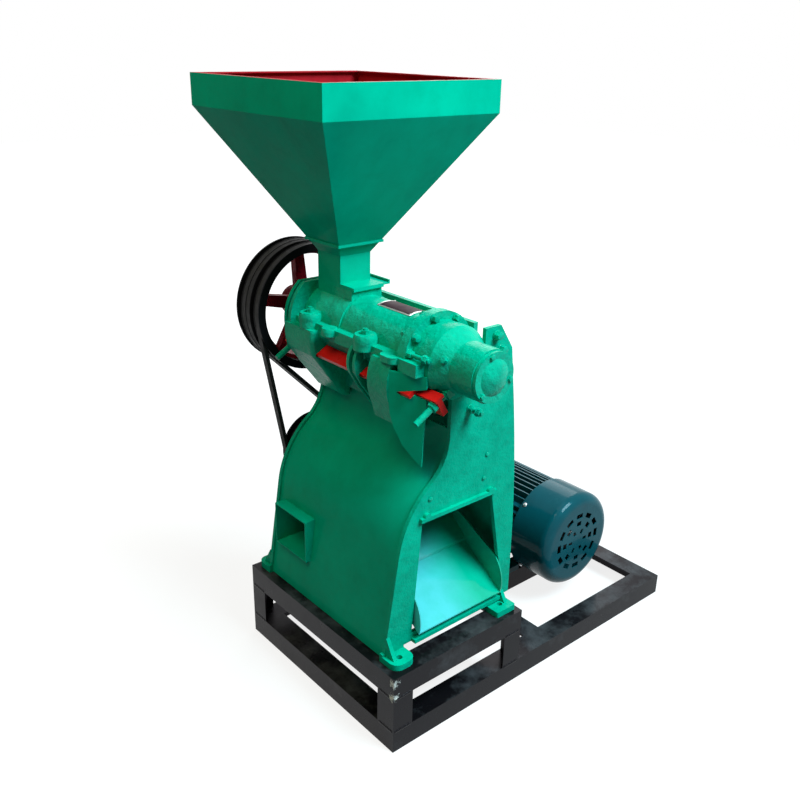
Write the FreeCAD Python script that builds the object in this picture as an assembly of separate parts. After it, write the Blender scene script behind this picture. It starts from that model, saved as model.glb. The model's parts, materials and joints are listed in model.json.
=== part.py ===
import FreeCAD, Part
import math
import os

from FreeCAD import Vector

# Grain sheller: an iron-roller mill on a sheet-skinned body with a blower, belt driven by a
# foot-mounted motor on a shared angle-iron base. Millimetres. While it is being built, X runs
# across the front from the base's left side, Y runs back from its front, and Z runs up from
# the floor. The finished pieces are moved so that the origin is the middle of the underside.

# General clearances
SLACK = 0.3
RUNNING = 0.05

# Base of equal angle iron
ANGLE = 56.0
ANGLE_WALL = 5.0
BASE_LENGTH = 1000.0
BASE_DEPTH = 580.0
STAND_LENGTH = 406.0
STAND_HEIGHT = 202.0
CROSS_RAIL_RIGHT = 543.0

# Main shaft line
SHAFT_X = 206.0
SHAFT_Z = 868.0

# Cast end plates
FRONT_PLATE_Y = 60.0
FRONT_PLATE_WALL = 10.0
REAR_PLATE_INSET = 60.0
REAR_PLATE_Y = BASE_DEPTH - REAR_PLATE_INSET
REAR_PLATE_WALL = 10.0
PLATE_CLEARANCE = 20.0
FRONT_DISC_R = 80.0
REAR_DISC_R = 114.0
REAR_DISC_TOP = 957.0
FAR_EAR_TOP = 926.0
FAR_EAR_LEFT = 288.0
FAR_EAR_RIGHT = 334.0

# Side curve of the body, from foot to neck, as X and Z on the left and on the right
LEFT_FOOT = (20.0, 205.0)
LEFT_KNEE = (59.0, 455.0)
LEFT_WAIST = (148.0, 606.0)
LEFT_NECK = (196.0, 704.0)
RIGHT_FOOT = (417.0, 205.0)
RIGHT_KNEE = (417.0, 330.0)
RIGHT_SHOULDER = (390.0, 739.0)

# Sheet skins
SKIN = 3.0
SKIN_INSET = 6.0
LEFT_SKIN_TOP = 716.0

# Feet of the end plates
FOOT_SPAN = 318.0
FOOT_WIDTH = 62.0
FOOT_REACH = 46.0
FOOT_WALL = 15.0
FOOT_HOLE_R = 7.0
FOOT_HOLE_OUT = 22.0

# Bran opening in the front plate, its chute and its baffle
BRAN_LEFT_TOP = (124.0, 524.0)
BRAN_RIGHT_TOP = (336.0, 524.0)
BRAN_RIGHT_FOOT = (392.0, 244.0)
BRAN_LEFT_FOOT = (100.0, 244.0)
BRAN_BEAD = 9.0
SHEET = 3.0
CHUTE_RISE = 130.0
CHUTE_LIP = 16.0
CHEEK_HEIGHT = 96.0
BAFFLE_RUN = 70.0
BAFFLE_RISE = 120.0

# Blower
BLOWER_Z = 492.0
BLOWER_DEPTH = 130.0
BLOWER_REAR_Y = REAR_PLATE_Y - 20.0
BLOWER_FRONT_Y = BLOWER_REAR_Y - BLOWER_DEPTH
CHUTE_RUN = BLOWER_FRONT_Y - 180.0
SCROLL_R = (100.0, 122.0, 168.0)
IMPELLER_R = 80.0
IMPELLER_HUB_R = 24.0
IMPELLER_BLADES = 6
IMPELLER_WALL = 3.0
BLOWER_EYE_R = 52.0
BLOWER_SHAFT_R = 12.5
BLOWER_BEARING_R = 26.0
BLOWER_BEARING_WIDTH = 15.0
BLOWER_HOUSING_R = 38.0
BLOWER_HOUSING_LENGTH = 36.0
BLOWER_PULLEY_R = 88.0
NOZZLE_LIP_X = 28.0
NOZZLE_HEIGHT = 110.0

# Roller, screw and screen
ROLLER_R = 46.0
ROLLER_CORE_R = 40.0
ROLLER_RIBS = 6
ROLLER_RIB = 9.0
ROLLER_FRONT_Y = 156.0
ROLLER_REAR_Y = REAR_PLATE_Y - 144.0
SCREW_REAR_Y = REAR_PLATE_Y - 22.0
SCREW_CORE_R = 30.0
SCREW_PITCH = 60.0
SCREW_FLIGHT = 9.0
SCREEN_R = 62.0
SCREEN_WALL = 1.5
SCREEN_SLOT = 4.0
SCREEN_SLOT_LENGTH = 60.0

# Upper cover
COVER_R = 78.0
COVER_WALL = 8.0
COVER_FRONT_Y = 126.0
COVER_REAR_Y = REAR_PLATE_Y - 6.0
COVER_LIP = 14.0
COVER_LIP_REACH = 20.0
FLANGE_R = 98.0
FLANGE_WALL = 12.0
BOSS_R = 27.0
BOSS_OUT = 94.0
BOSS_HEIGHT = 34.0
BOSS_Y = (246.0, REAR_PLATE_Y - 70.0)
CLAMP_R = 5.0
LOW_BOSS_R = 20.0
LOW_BOSS_OUT = 98.0
LOW_BOSS_HEIGHT = 17.0
LOW_BOSS_Y = REAR_PLATE_Y - 150.0
SADDLE = 4.0
LUG_OUT = 118.0
LUG_LENGTH = 52.0
INLET_TOP = 960.0
INLET_WALL = 8.0

# Lower casing
BRIDGE_WALL = 14.0
REAR_EAR = ((88.0, 868.0), (87.0, 838.0), (93.0, 806.0), (134.0, 750.0), (180.0, 690.0))
REAR_EAR_LENGTH = 109.0
REAR_EAR_ROUND = 10.0
MID_RIB = ((98.0, 868.0), (87.0, 842.0), (90.0, 812.0), (110.0, 780.0), (174.0, 694.0))
FRONT_EAR = ((98.0, 868.0), (86.0, 832.0), (90.0, 784.0), (108.0, 728.0), (178.0, 694.0))
FRONT_WALL = 14.0
FRONT_EAR_LENGTH = 66.0
MID_RIB_Y = (250.0, 271.0)
MID_RIB_WALL = 9.0
SEAT_WALL = 12.0
FAR_WALL = 12.0
FAR_WALL_X = 318.0
FAR_WALL_TOP = 917.0

# Knife, its brackets and its studs
KNIFE_DROP = 30.0
KNIFE_WALL = 9.0
KNIFE_IN_R = 60.0
KNIFE_OUT_R = 120.0
KNIFE_FRONT_Y = 88.0
KNIFE_REAR_Y = REAR_PLATE_Y + 22.0
KNIFE_IN = 5.0
KNIFE_OUT = 2.0
STUD_R = 7.0
STUD_TIP_R = 160.0
STUD_ROOT_R = 70.0
STUD_DROP = 21.0
FRONT_STUD_Y = 40.0
REAR_STUD_Y = REAR_PLATE_Y + 25.0
BRACKET_WALL = 6.0
BRACKET_WIDTH = 26.0
BRACKET_IN_R = 79.0
BRACKET_OUT_R = 103.0
BRACKET_LAP = 22.0
BRACKET_BLOCK = 14.0
BRACKET_DROP = 48.0

# Discharge housing and rice spout
DISCHARGE_R = 80.0
DISCHARGE_WALL = 14.0
LUG_REACH = 24.0
LUG_WALL = 28.0
SPOUT_TURN = 24.0
SPOUT_WALL = 6.0
SPOUT_LEFT_X = 90.0
SPOUT_OUTLINE = (
    (0.0, 789.0), (3.0, 760.0), (11.0, 734.0), (33.0, 693.0), (59.0, 667.0),
    (79.0, 651.0), (81.0, 720.0), (86.0, 786.0),
)

# Main shaft, its bearings, housings and caps
BEARING_BORE_R = 20.0
BEARING_R = 45.0
BEARING_WIDTH = 23.0
ROLLER_SEAT_R = 22.5
HOUSING_R = 57.0
FRONT_HOUSING_Y = -40.0
FRONT_CONE_Y = 24.0
REAR_HOUSING_LENGTH = 34.0
CAP_R = 54.0
CAP_WALL = 9.0
DOME_R = 39.0
DOME_HEIGHT = 12.0

# Main pulley
PULLEY_R = 158.0
GROOVE_COUNT = 5
GROOVE_PITCH = 19.0
GROOVE_EDGE = 12.5
GROOVE_TOP = 17.6
GROOVE_FLOOR = 10.6
GROOVE_DEPTH = 14.0
PULLEY_NEAR_Y = REAR_PLATE_Y + 52.0
RIM_WALL = 20.0
SPOKES = 5
SPOKE_FIRST = 95.0
SPOKE_WIDTH = 26.0
SPOKE_WALL = 20.0
HUB_R = 38.0
BLOWER_GROOVE_NUMBER = 0
DRIVE_GROOVE_NUMBERS = (2, 3)

# Belts of one wedge section
BELT_TOP = 16.4
BELT_FLOOR = 10.8
BELT_HEIGHT = 11.0

# Hopper and neck
HOPPER_Y = REAR_PLATE_Y - 75.0
HOPPER_WIDTH = 462.0
HOPPER_DEPTH = 493.0
HOPPER_TOP = 1410.0
HOPPER_RIM = 68.0
HOPPER_SHEET = 3.0
NECK_WIDTH = 86.0
NECK_DEPTH = 86.0
NECK_TOP = 1032.0
SEAM_Z = 1062.0
LEDGE = 42.0
NECK_FLANGE = 50.0
FRONT_SPACER = 12.0
REAR_SPACER = 4.0
GATE_WALL = 4.0
GATE_LENGTH = 106.0
GATE_GRIP = 10.0

# Motor
MOTOR_X = BASE_LENGTH - 215.0
MOTOR_HEIGHT = 132.0
MOTOR_LENGTH = 435.0
MOTOR_NOSE_Y = PULLEY_NEAR_Y - MOTOR_LENGTH
STATOR_R = 108.0
FIN_R = 129.0
FIN_WALL = 4.0
FIN_PITCH = 16.0
FINS = 11
SHIELD_LENGTH = 34.0
COWL_R = 137.5
COWL_LENGTH = 128.0
COWL_ROUND = 27.0
COWL_SHEET = 2.0
GRILLE_R = 98.0
MOTOR_FOOT_A = 216.0
MOTOR_FOOT_B = 178.0
MOTOR_FOOT_C = 89.0
MOTOR_FOOT_WIDTH = 62.0
MOTOR_FOOT_WALL = 16.0
MOTOR_HOLE_R = 6.0
MOTOR_SHAFT_R = 19.0
MOTOR_SHAFT_REACH = 80.0
MOTOR_BEARING_R = 40.0
MOTOR_BEARING_WIDTH = 20.0
MOTOR_FAN_R = 108.0
MOTOR_FAN_DISC_R = 96.0
MOTOR_FAN_HUB_R = 34.0
MOTOR_FAN_DEPTH = 42.0
MOTOR_FAN_BLADES = 7
MOTOR_PULLEY_R = 88.0
TERMINAL_REACH = 210.0
TERMINAL_SIZE = 112.0
GLAND_R = 13.0
GLAND_BORE_R = 7.0
GLAND_FROM_FRONT = 24.0

# Worked out from the sizes above
FRONT_PLATE_BACK = FRONT_PLATE_Y + FRONT_PLATE_WALL
REAR_PLATE_BACK = REAR_PLATE_Y + REAR_PLATE_WALL
PLATE_FOOT_Z = STAND_HEIGHT + PLATE_CLEARANCE
PULLEY_WIDTH = 2 * GROOVE_EDGE + (GROOVE_COUNT - 1) * GROOVE_PITCH
PULLEY_FAR_Y = PULLEY_NEAR_Y + PULLEY_WIDTH
MOTOR_Z = ANGLE + MOTOR_HEIGHT
MOTOR_END_Y = MOTOR_NOSE_Y + MOTOR_LENGTH
KNIFE_TURN = math.radians(KNIFE_DROP)
UP = Vector(0, 0, 1)
BACK = Vector(0, 1, 0)
RIGHT = Vector(1, 0, 0)
PIECES = {}


# Helpers

def xz(point, y=0.0):
    return Vector(point[0], y, point[1])


def box(x0, x1, y0, y1, z0, z1):
    return Part.makeBox(x1 - x0, y1 - y0, z1 - z0, Vector(x0, y0, z0))


def rod_y(x, z, r, y0, y1):
    return Part.makeCylinder(r, y1 - y0, Vector(x, y0, z), BACK)


def rod_z(x, y, r, z0, z1):
    return Part.makeCylinder(r, z1 - z0, Vector(x, y, z0), UP)


def ring_y(x, z, r, bore, y0, y1):
    return rod_y(x, z, r, y0, y1).cut(rod_y(x, z, bore, y0 - 1, y1 + 1))


def prism_y(points, y0, y1):
    corners = [xz(p, y0) for p in points]
    outline = Part.makePolygon(corners + corners[:1])
    return Part.Face(outline).extrude(Vector(0, y1 - y0, 0))


def slab_y(edges, y0, y1):
    face = Part.Face(Part.Wire(edges))
    face.translate(Vector(0, y0, 0))
    return face.extrude(Vector(0, y1 - y0, 0))


def turned_y(x, z, profile):
    """profile holds radius and Y in order round the section"""
    corners = [Vector(x + r, y, z) for r, y in profile]
    section = Part.Face(Part.makePolygon(corners + corners[:1]))
    return section.revolve(Vector(x, 0, z), BACK, 360)


def fused(first, rest):
    return first.multiFuse(rest).removeSplitter()


def line(p, q):
    return Part.makeLine(p, q)


def heading(p, q):
    return math.atan2(q[1] - p[1], q[0] - p[0])


def along(angle):
    return Vector(math.cos(angle), 0, math.sin(angle))


def right_of(angle):
    return Vector(math.sin(angle), 0, -math.cos(angle))


def bend(p, p_angle, q, q_angle):
    """arc from p to q whose tangent turns from p_angle to q_angle"""
    chord = q.sub(p)
    half_turn = (p_angle - q_angle) / 2
    radius = chord.Length / (2 * math.sin(half_turn))
    rise = radius * (1 - math.cos(half_turn))
    middle = p.add(chord * 0.5).sub(right_of((p_angle + q_angle) / 2) * rise)
    return Part.Arc(p, middle, q).toShape()


def hexagon(centre, axis, across, height):
    nut = Part.makeCylinder(across / math.sqrt(3), height)
    corners = []
    for k in range(6):
        turn = math.radians(60 * k)
        corners.append(Vector(math.cos(turn), math.sin(turn), 0) * (across / math.sqrt(3)))
    nut = Part.Face(Part.makePolygon(corners + corners[:1])).extrude(UP * height)
    nut.Placement = FreeCAD.Placement(centre, FreeCAD.Rotation(UP, axis))
    return nut


# Base

def angle_rails():
    depth = BASE_DEPTH
    wall = ANGLE_WALL
    front = box(0, BASE_LENGTH, 0, wall, 0, ANGLE)
    front = front.fuse(box(0, BASE_LENGTH, 0, ANGLE, ANGLE - wall, ANGLE))
    left = box(0, wall, wall, depth - wall, 0, ANGLE - wall)
    left = left.fuse(box(0, ANGLE, ANGLE, depth - ANGLE, ANGLE - wall, ANGLE))
    return front.removeSplitter(), left.removeSplitter()


def mirrored(shape, middle, normal):
    return shape.mirror(middle, normal)


def make_base():
    front, left = angle_rails()
    middle = Vector(BASE_LENGTH / 2, BASE_DEPTH / 2, 0)
    PIECES["base_long_rails"] = [front, mirrored(front, middle, BACK)]
    PIECES["base_end_rails"] = [left, mirrored(left, middle, RIGHT)]
    wall = ANGLE_WALL
    right = CROSS_RAIL_RIGHT
    web = box(right - wall, right, wall, BASE_DEPTH - wall, 0, ANGLE - wall)
    top = box(right - ANGLE, right, ANGLE, BASE_DEPTH - ANGLE, ANGLE - wall, ANGLE)
    PIECES["base_cross_rail"] = [web.fuse(top).removeSplitter()]
    rails = []
    for y in motor_foot_rows():
        y0 = y - ANGLE / 2
        web = box(right, BASE_LENGTH - wall, y0, y0 + wall, 0, ANGLE - wall)
        top = box(right, BASE_LENGTH - ANGLE, y0, y0 + ANGLE, ANGLE - wall, ANGLE)
        rail = web.fuse(top).removeSplitter()
        for x in motor_foot_columns():
            rail = rail.cut(rod_z(x, y, MOTOR_HOLE_R, 0, ANGLE + 1))
        rails.append(rail)
    PIECES["motor_rails"] = rails


def motor_foot_rows():
    rear = MOTOR_END_Y - MOTOR_FOOT_C
    return (rear - MOTOR_FOOT_B, rear)


def motor_foot_columns():
    return (MOTOR_X - MOTOR_FOOT_A / 2, MOTOR_X + MOTOR_FOOT_A / 2)


def mill_foot_holes():
    front = FRONT_PLATE_Y - FOOT_HOLE_OUT
    rear = REAR_PLATE_BACK + FOOT_HOLE_OUT
    columns = (SHAFT_X - FOOT_SPAN / 2, SHAFT_X + FOOT_SPAN / 2)
    return [(x, y) for y in (front, rear) for x in columns]


def make_stand():
    wall = ANGLE_WALL
    top = STAND_HEIGHT
    low = top - ANGLE
    length = STAND_LENGTH
    depth = BASE_DEPTH
    middle = Vector(length / 2, depth / 2, 0)
    front = box(0, length, 0, wall, low, top)
    front = front.fuse(box(0, length, 0, ANGLE, top - wall, top)).removeSplitter()
    left = box(0, wall, wall, depth - wall, low, top - wall)
    left = left.fuse(box(0, ANGLE, ANGLE, depth - ANGLE, top - wall, top)).removeSplitter()
    long_rails = [front, mirrored(front, middle, BACK)]
    drilled = []
    for rail in long_rails:
        for x, y in mill_foot_holes():
            rail = rail.cut(rod_z(x, y, FOOT_HOLE_R, low, top + 1))
        drilled.append(rail)
    PIECES["stand_long_rails"] = drilled
    PIECES["stand_end_rails"] = [left, mirrored(left, middle, RIGHT)]
    post = box(0, ANGLE, 0, wall, ANGLE, low).fuse(box(0, wall, wall, ANGLE, ANGLE, low))
    post = post.removeSplitter()
    across = mirrored(post, middle, RIGHT)
    posts = [post, across, mirrored(post, middle, BACK), mirrored(across, middle, BACK)]
    PIECES["stand_posts"] = posts


# Body

def left_side(inset):
    """edges of the left side curve, from its foot up to its neck, moved inwards by inset"""
    a0 = heading(LEFT_FOOT, LEFT_KNEE)
    a1 = 2 * heading(LEFT_KNEE, LEFT_WAIST) - a0
    a2 = 2 * heading(LEFT_WAIST, LEFT_NECK) - a1
    foot = xz(LEFT_FOOT).add(right_of(a0) * inset)
    knee = xz(LEFT_KNEE).add(right_of(a0) * inset)
    waist = xz(LEFT_WAIST).add(right_of(a1) * inset)
    neck = xz(LEFT_NECK).add(right_of(a2) * inset)
    edges = [line(foot, knee), bend(knee, a0, waist, a1), bend(waist, a1, neck, a2)]
    return edges, foot, neck


def right_side(inset, top_z):
    """edges of the right side curve, from its foot up to top_z, moved inwards by inset"""
    a0 = heading(RIGHT_FOOT, RIGHT_KNEE)
    a1 = 2 * heading(RIGHT_KNEE, RIGHT_SHOULDER) - a0
    foot = xz(RIGHT_FOOT).sub(right_of(a0) * inset)
    knee = xz(RIGHT_KNEE).sub(right_of(a0) * inset)
    shoulder = xz(RIGHT_SHOULDER).sub(right_of(a1) * inset)
    top = shoulder.add(along(a1) * ((top_z - shoulder.z) / math.sin(a1)))
    edges = [line(foot, knee), bend(knee, a0, shoulder, a1), line(shoulder, top)]
    return edges, foot, top


def plate_blank(y0, y1, disc_r):
    """end plate: side curves, a disc round the shaft and the ear at the far side"""
    left, left_foot, neck = left_side(0)
    right, right_foot, top = right_side(0, SHAFT_Z)
    neck_top = Vector(neck.x, 0, SHAFT_Z)
    ear_low = Vector(FAR_EAR_RIGHT, 0, FAR_EAR_TOP)
    ear_high = Vector(FAR_EAR_LEFT, 0, FAR_EAR_TOP)
    inner = Vector(FAR_EAR_LEFT, 0, SHAFT_Z)
    edges = left + [line(neck, neck_top), line(neck_top, inner), line(inner, ear_high)]
    edges += [line(ear_high, ear_low), line(ear_low, top)]
    edges += list(reversed(right)) + [line(right_foot, left_foot)]
    plate = slab_y(Part.__sortEdges__(edges), y0, y1)
    disc = rod_y(SHAFT_X, SHAFT_Z, disc_r, y0, y1)
    plate = plate.fuse(disc.common(box(0, BASE_LENGTH, y0, y1, 0, REAR_DISC_TOP)))
    gap = box(left_foot.x - 1, right_foot.x + 1, y0 - 1, y1 + 1, 0, PLATE_FOOT_Z)
    return plate.cut(gap).removeSplitter()


def plate_feet(face_y, side):
    """two feet that stand out from a plate's outer face; side is -1 for front, 1 for rear"""
    feet = []
    for k, x in enumerate((SHAFT_X - FOOT_SPAN / 2, SHAFT_X + FOOT_SPAN / 2)):
        y0, y1 = sorted((face_y - side * REAR_PLATE_WALL, face_y + side * FOOT_REACH))
        x0 = x - FOOT_WIDTH / 2
        foot = box(x0, x0 + FOOT_WIDTH, y0, y1, STAND_HEIGHT, STAND_HEIGHT + FOOT_WALL)
        tip_y = face_y + side * FOOT_REACH
        tips = [e for e in foot.Edges if is_upright(e) and abs(e.CenterOfMass.y - tip_y) < 1]
        foot = foot.makeFillet(FOOT_WIDTH * (0.36, 0.08)[k], tips)
        web_x = x + (FOOT_WIDTH / 2 - REAR_PLATE_WALL) * (-1, 1)[k]
        web = Part.makePolygon([
            Vector(web_x, face_y, STAND_HEIGHT + FOOT_WALL),
            Vector(web_x, face_y + side * FOOT_REACH * 0.6, STAND_HEIGHT + FOOT_WALL),
            Vector(web_x, face_y, STAND_HEIGHT + FOOT_WALL + FOOT_REACH),
            Vector(web_x, face_y, STAND_HEIGHT + FOOT_WALL),
        ])
        web = Part.Face(web).extrude(Vector(REAR_PLATE_WALL * (1, -1)[k], 0, 0))
        riser_y0, riser_y1 = sorted((face_y, face_y - side * REAR_PLATE_WALL))
        riser = box(x0, x0 + FOOT_WIDTH, riser_y0, riser_y1, STAND_HEIGHT, PLATE_FOOT_Z + 1)
        feet.append(foot.fuse(web).fuse(riser))
    return feet


def is_upright(edge):
    first, last = edge.Vertexes[0].Point, edge.Vertexes[-1].Point
    return abs(first.z - last.z) > 1


def bolt_holes(shape, holes):
    for x, y in holes:
        shape = shape.cut(rod_z(x, y, FOOT_HOLE_R, STAND_HEIGHT - 1, PLATE_FOOT_Z + FOOT_WALL))
    return shape


def make_end_plates():
    front = plate_blank(FRONT_PLATE_Y, FRONT_PLATE_BACK, FRONT_DISC_R)
    front = fused(front, plate_feet(FRONT_PLATE_Y, -1))
    mouth = [BRAN_LEFT_FOOT, BRAN_LEFT_TOP, BRAN_RIGHT_TOP, BRAN_RIGHT_FOOT]
    front = front.cut(prism_y(mouth, FRONT_PLATE_Y - 20, FRONT_PLATE_BACK + 1))
    bead_y = FRONT_PLATE_Y - BRAN_BEAD
    bead_z = BRAN_LEFT_TOP[1]
    bead = box(BRAN_LEFT_TOP[0] - BRAN_BEAD, BRAN_RIGHT_TOP[0] + BRAN_BEAD,
               bead_y, FRONT_PLATE_Y, bead_z, bead_z + BRAN_BEAD)
    knobs = []
    for x in (BRAN_LEFT_TOP[0] + BRAN_BEAD, BRAN_RIGHT_TOP[0] - BRAN_BEAD):
        knobs.append(rod_y(x, bead_z + BRAN_BEAD, BRAN_BEAD, bead_y, FRONT_PLATE_Y))
    ledge = box(BRAN_LEFT_FOOT[0], BRAN_RIGHT_FOOT[0] - BRAN_BEAD,
                FRONT_PLATE_Y - 14, FRONT_PLATE_Y, PLATE_FOOT_Z, PLATE_FOOT_Z + BRAN_BEAD)
    front = fused(front, [bead, ledge] + knobs)
    front = front.cut(rod_y(SHAFT_X, SHAFT_Z, SCREEN_R - 4, FRONT_PLATE_Y - 1, FRONT_PLATE_BACK + 1))
    front = front.cut(arm_room())
    PIECES["front_end_plate"] = [bolt_holes(front, mill_foot_holes())]

    rear = plate_blank(REAR_PLATE_Y, REAR_PLATE_BACK, REAR_DISC_R)
    rear = fused(rear, plate_feet(REAR_PLATE_BACK, 1))
    shaft_hole = ROLLER_SEAT_R + 4
    rear = rear.cut(rod_y(SHAFT_X, SHAFT_Z, shaft_hole, REAR_PLATE_Y - 1, REAR_PLATE_BACK + 1))
    blower_hole = BLOWER_SHAFT_R + 6
    rear = rear.cut(rod_y(SHAFT_X, BLOWER_Z, blower_hole, REAR_PLATE_Y - 1, REAR_PLATE_BACK + 1))
    rear = rear.cut(knife_slot(REAR_PLATE_Y - 1, REAR_PLATE_BACK + 1))
    PIECES["rear_end_plate"] = [bolt_holes(rear, mill_foot_holes())]


def make_skins():
    y0 = FRONT_PLATE_BACK
    y1 = REAR_PLATE_Y
    outer, outer_foot, outer_neck = left_side(SKIN_INSET)
    inner, inner_foot, inner_neck = left_side(SKIN_INSET + SKIN)
    outer_top = Vector(outer_neck.x, 0, LEFT_SKIN_TOP)
    inner_top = Vector(inner_neck.x, 0, LEFT_SKIN_TOP)
    edges = outer + [line(outer_neck, outer_top), line(outer_top, inner_top)]
    edges += [line(inner_top, inner_neck)] + inner + [line(inner_foot, outer_foot)]
    left = slab_y(Part.__sortEdges__(edges), y0, y1)
    low, high = nozzle_levels()
    port = box(0, SHAFT_X, BLOWER_FRONT_Y - SLACK, BLOWER_REAR_Y + SLACK, low - SLACK, high + SLACK)
    below = box(0, BASE_LENGTH, 0, BASE_DEPTH, 0, STAND_HEIGHT + SLACK)
    PIECES["left_skin"] = [left.cut(port).cut(below)]

    top_z = SHAFT_Z
    outer, outer_foot, outer_top = right_side(SKIN_INSET, top_z)
    inner, inner_foot, inner_top = right_side(SKIN_INSET + SKIN, top_z)
    edges = outer + [line(outer_top, inner_top)] + inner + [line(inner_foot, outer_foot)]
    PIECES["right_skin"] = [slab_y(Part.__sortEdges__(edges), y0, y1).cut(below)]


def nozzle_levels():
    low = BLOWER_Z - (SCROLL_R[1] - SCROLL_R[0]) - SCROLL_R[2]
    return low, low + NOZZLE_HEIGHT


def chute_line(z):
    """left and right inside faces of the body at height z, past the skins"""
    left, left_foot, _ = left_side(SKIN_INSET + SKIN)
    right, right_foot, _ = right_side(SKIN_INSET + SKIN, SHAFT_Z)
    level = line(Vector(-10, 0, z), Vector(BASE_LENGTH, 0, z))
    xs = [v.X for e in left + right for v in level.section(e).Vertexes]
    return min(xs), max(xs)


def slanted(low, high, z):
    """X at height z on the line from low to high"""
    return low[0] + (high[0] - low[0]) * (z - low[1]) / (high[1] - low[1])


def make_bran_chute():
    y0 = FRONT_PLATE_BACK + SLACK
    lip_y = FRONT_PLATE_Y - CHUTE_LIP
    z0 = BRAN_LEFT_FOOT[1] + SLACK
    slope = CHUTE_RISE / CHUTE_RUN
    x0 = slanted(BRAN_LEFT_FOOT, BRAN_LEFT_TOP, z0 + CHEEK_HEIGHT) + SLACK
    x1 = slanted(BRAN_RIGHT_FOOT, BRAN_RIGHT_TOP, z0 + CHEEK_HEIGHT) - SLACK
    rise = CHUTE_RISE
    floor = Part.Face(Part.makePolygon([
        Vector(x0, lip_y, z0),
        Vector(x0, y0 + CHUTE_RUN, z0 + rise + slope * (y0 - lip_y)),
        Vector(x0, y0 + CHUTE_RUN, z0 + rise + slope * (y0 - lip_y) + SHEET),
        Vector(x0, lip_y, z0 + SHEET),
        Vector(x0, lip_y, z0),
    ])).extrude(Vector(x1 - x0, 0, 0))
    cheeks = []
    for x in (x0, x1 - SHEET):
        low = Vector(x, lip_y, z0 + SHEET)
        top = Vector(x, y0, z0 + CHEEK_HEIGHT)
        middle = Vector(x, lip_y + 2, z0 + CHEEK_HEIGHT * 0.62)
        back_top = Vector(x, y0 + CHUTE_RUN, z0 + rise + CHEEK_HEIGHT * 0.6)
        back_low = Vector(x, y0 + CHUTE_RUN, z0 + rise + slope * (y0 - lip_y) + SHEET)
        curve = Part.Arc(low, middle, top).toShape()
        edges = [curve, line(top, back_top), line(back_top, back_low), line(back_low, low)]
        cheeks.append(Part.Face(Part.Wire(edges)).extrude(Vector(SHEET, 0, 0)))
    PIECES["bran_chute"] = [fused(floor, cheeks)]

    start_y = y0 + CHUTE_RUN
    start_z = z0 + rise + slope * (y0 - lip_y) + SHEET + 24
    left_x, right_x = chute_line(start_z + BAFFLE_RISE)
    baffle = Part.Face(Part.makePolygon([
        Vector(left_x + SLACK, start_y, start_z),
        Vector(left_x + SLACK, start_y + BAFFLE_RUN, start_z + BAFFLE_RISE),
        Vector(left_x + SLACK, start_y + BAFFLE_RUN + SHEET, start_z + BAFFLE_RISE),
        Vector(left_x + SLACK, start_y + SHEET, start_z),
        Vector(left_x + SLACK, start_y, start_z),
    ])).extrude(Vector(right_x - left_x - 2 * SLACK, 0, 0))
    PIECES["bran_baffle"] = [baffle]


# Blower

def scroll(shrink, y0, y1, mouth_x):
    """solid scroll of three quarter arcs that grow towards the outlet on the left"""
    r1, r2, r3 = [r - shrink for r in SCROLL_R]
    step_z = SCROLL_R[1] - SCROLL_R[0]
    step_x = SCROLL_R[1] - SCROLL_R[2]
    low, high = nozzle_levels()
    c1 = Vector(SHAFT_X, 0, BLOWER_Z)
    c2 = c1.sub(UP * step_z)
    c3 = c2.add(RIGHT * step_x)
    tongue = Vector(c1.x - r1, 0, high - shrink)
    start = Vector(mouth_x, 0, high - shrink)
    foot = Vector(mouth_x, 0, low + shrink)
    half = math.sqrt(0.5)
    west = c1.sub(RIGHT * r1)
    north = c1.add(UP * r1)
    east = c2.add(RIGHT * r2)
    south = c3.sub(UP * r3)
    edges = [
        line(start, tongue),
        line(tongue, west),
        Part.Arc(west, c1.add(Vector(-half, 0, half) * r1), north).toShape(),
        Part.Arc(north, c2.add(Vector(half, 0, half) * r2), east).toShape(),
        Part.Arc(east, c3.add(Vector(half, 0, -half) * r3), south).toShape(),
        line(south, foot),
        line(foot, start),
    ]
    return slab_y(edges, y0, y1)


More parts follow.
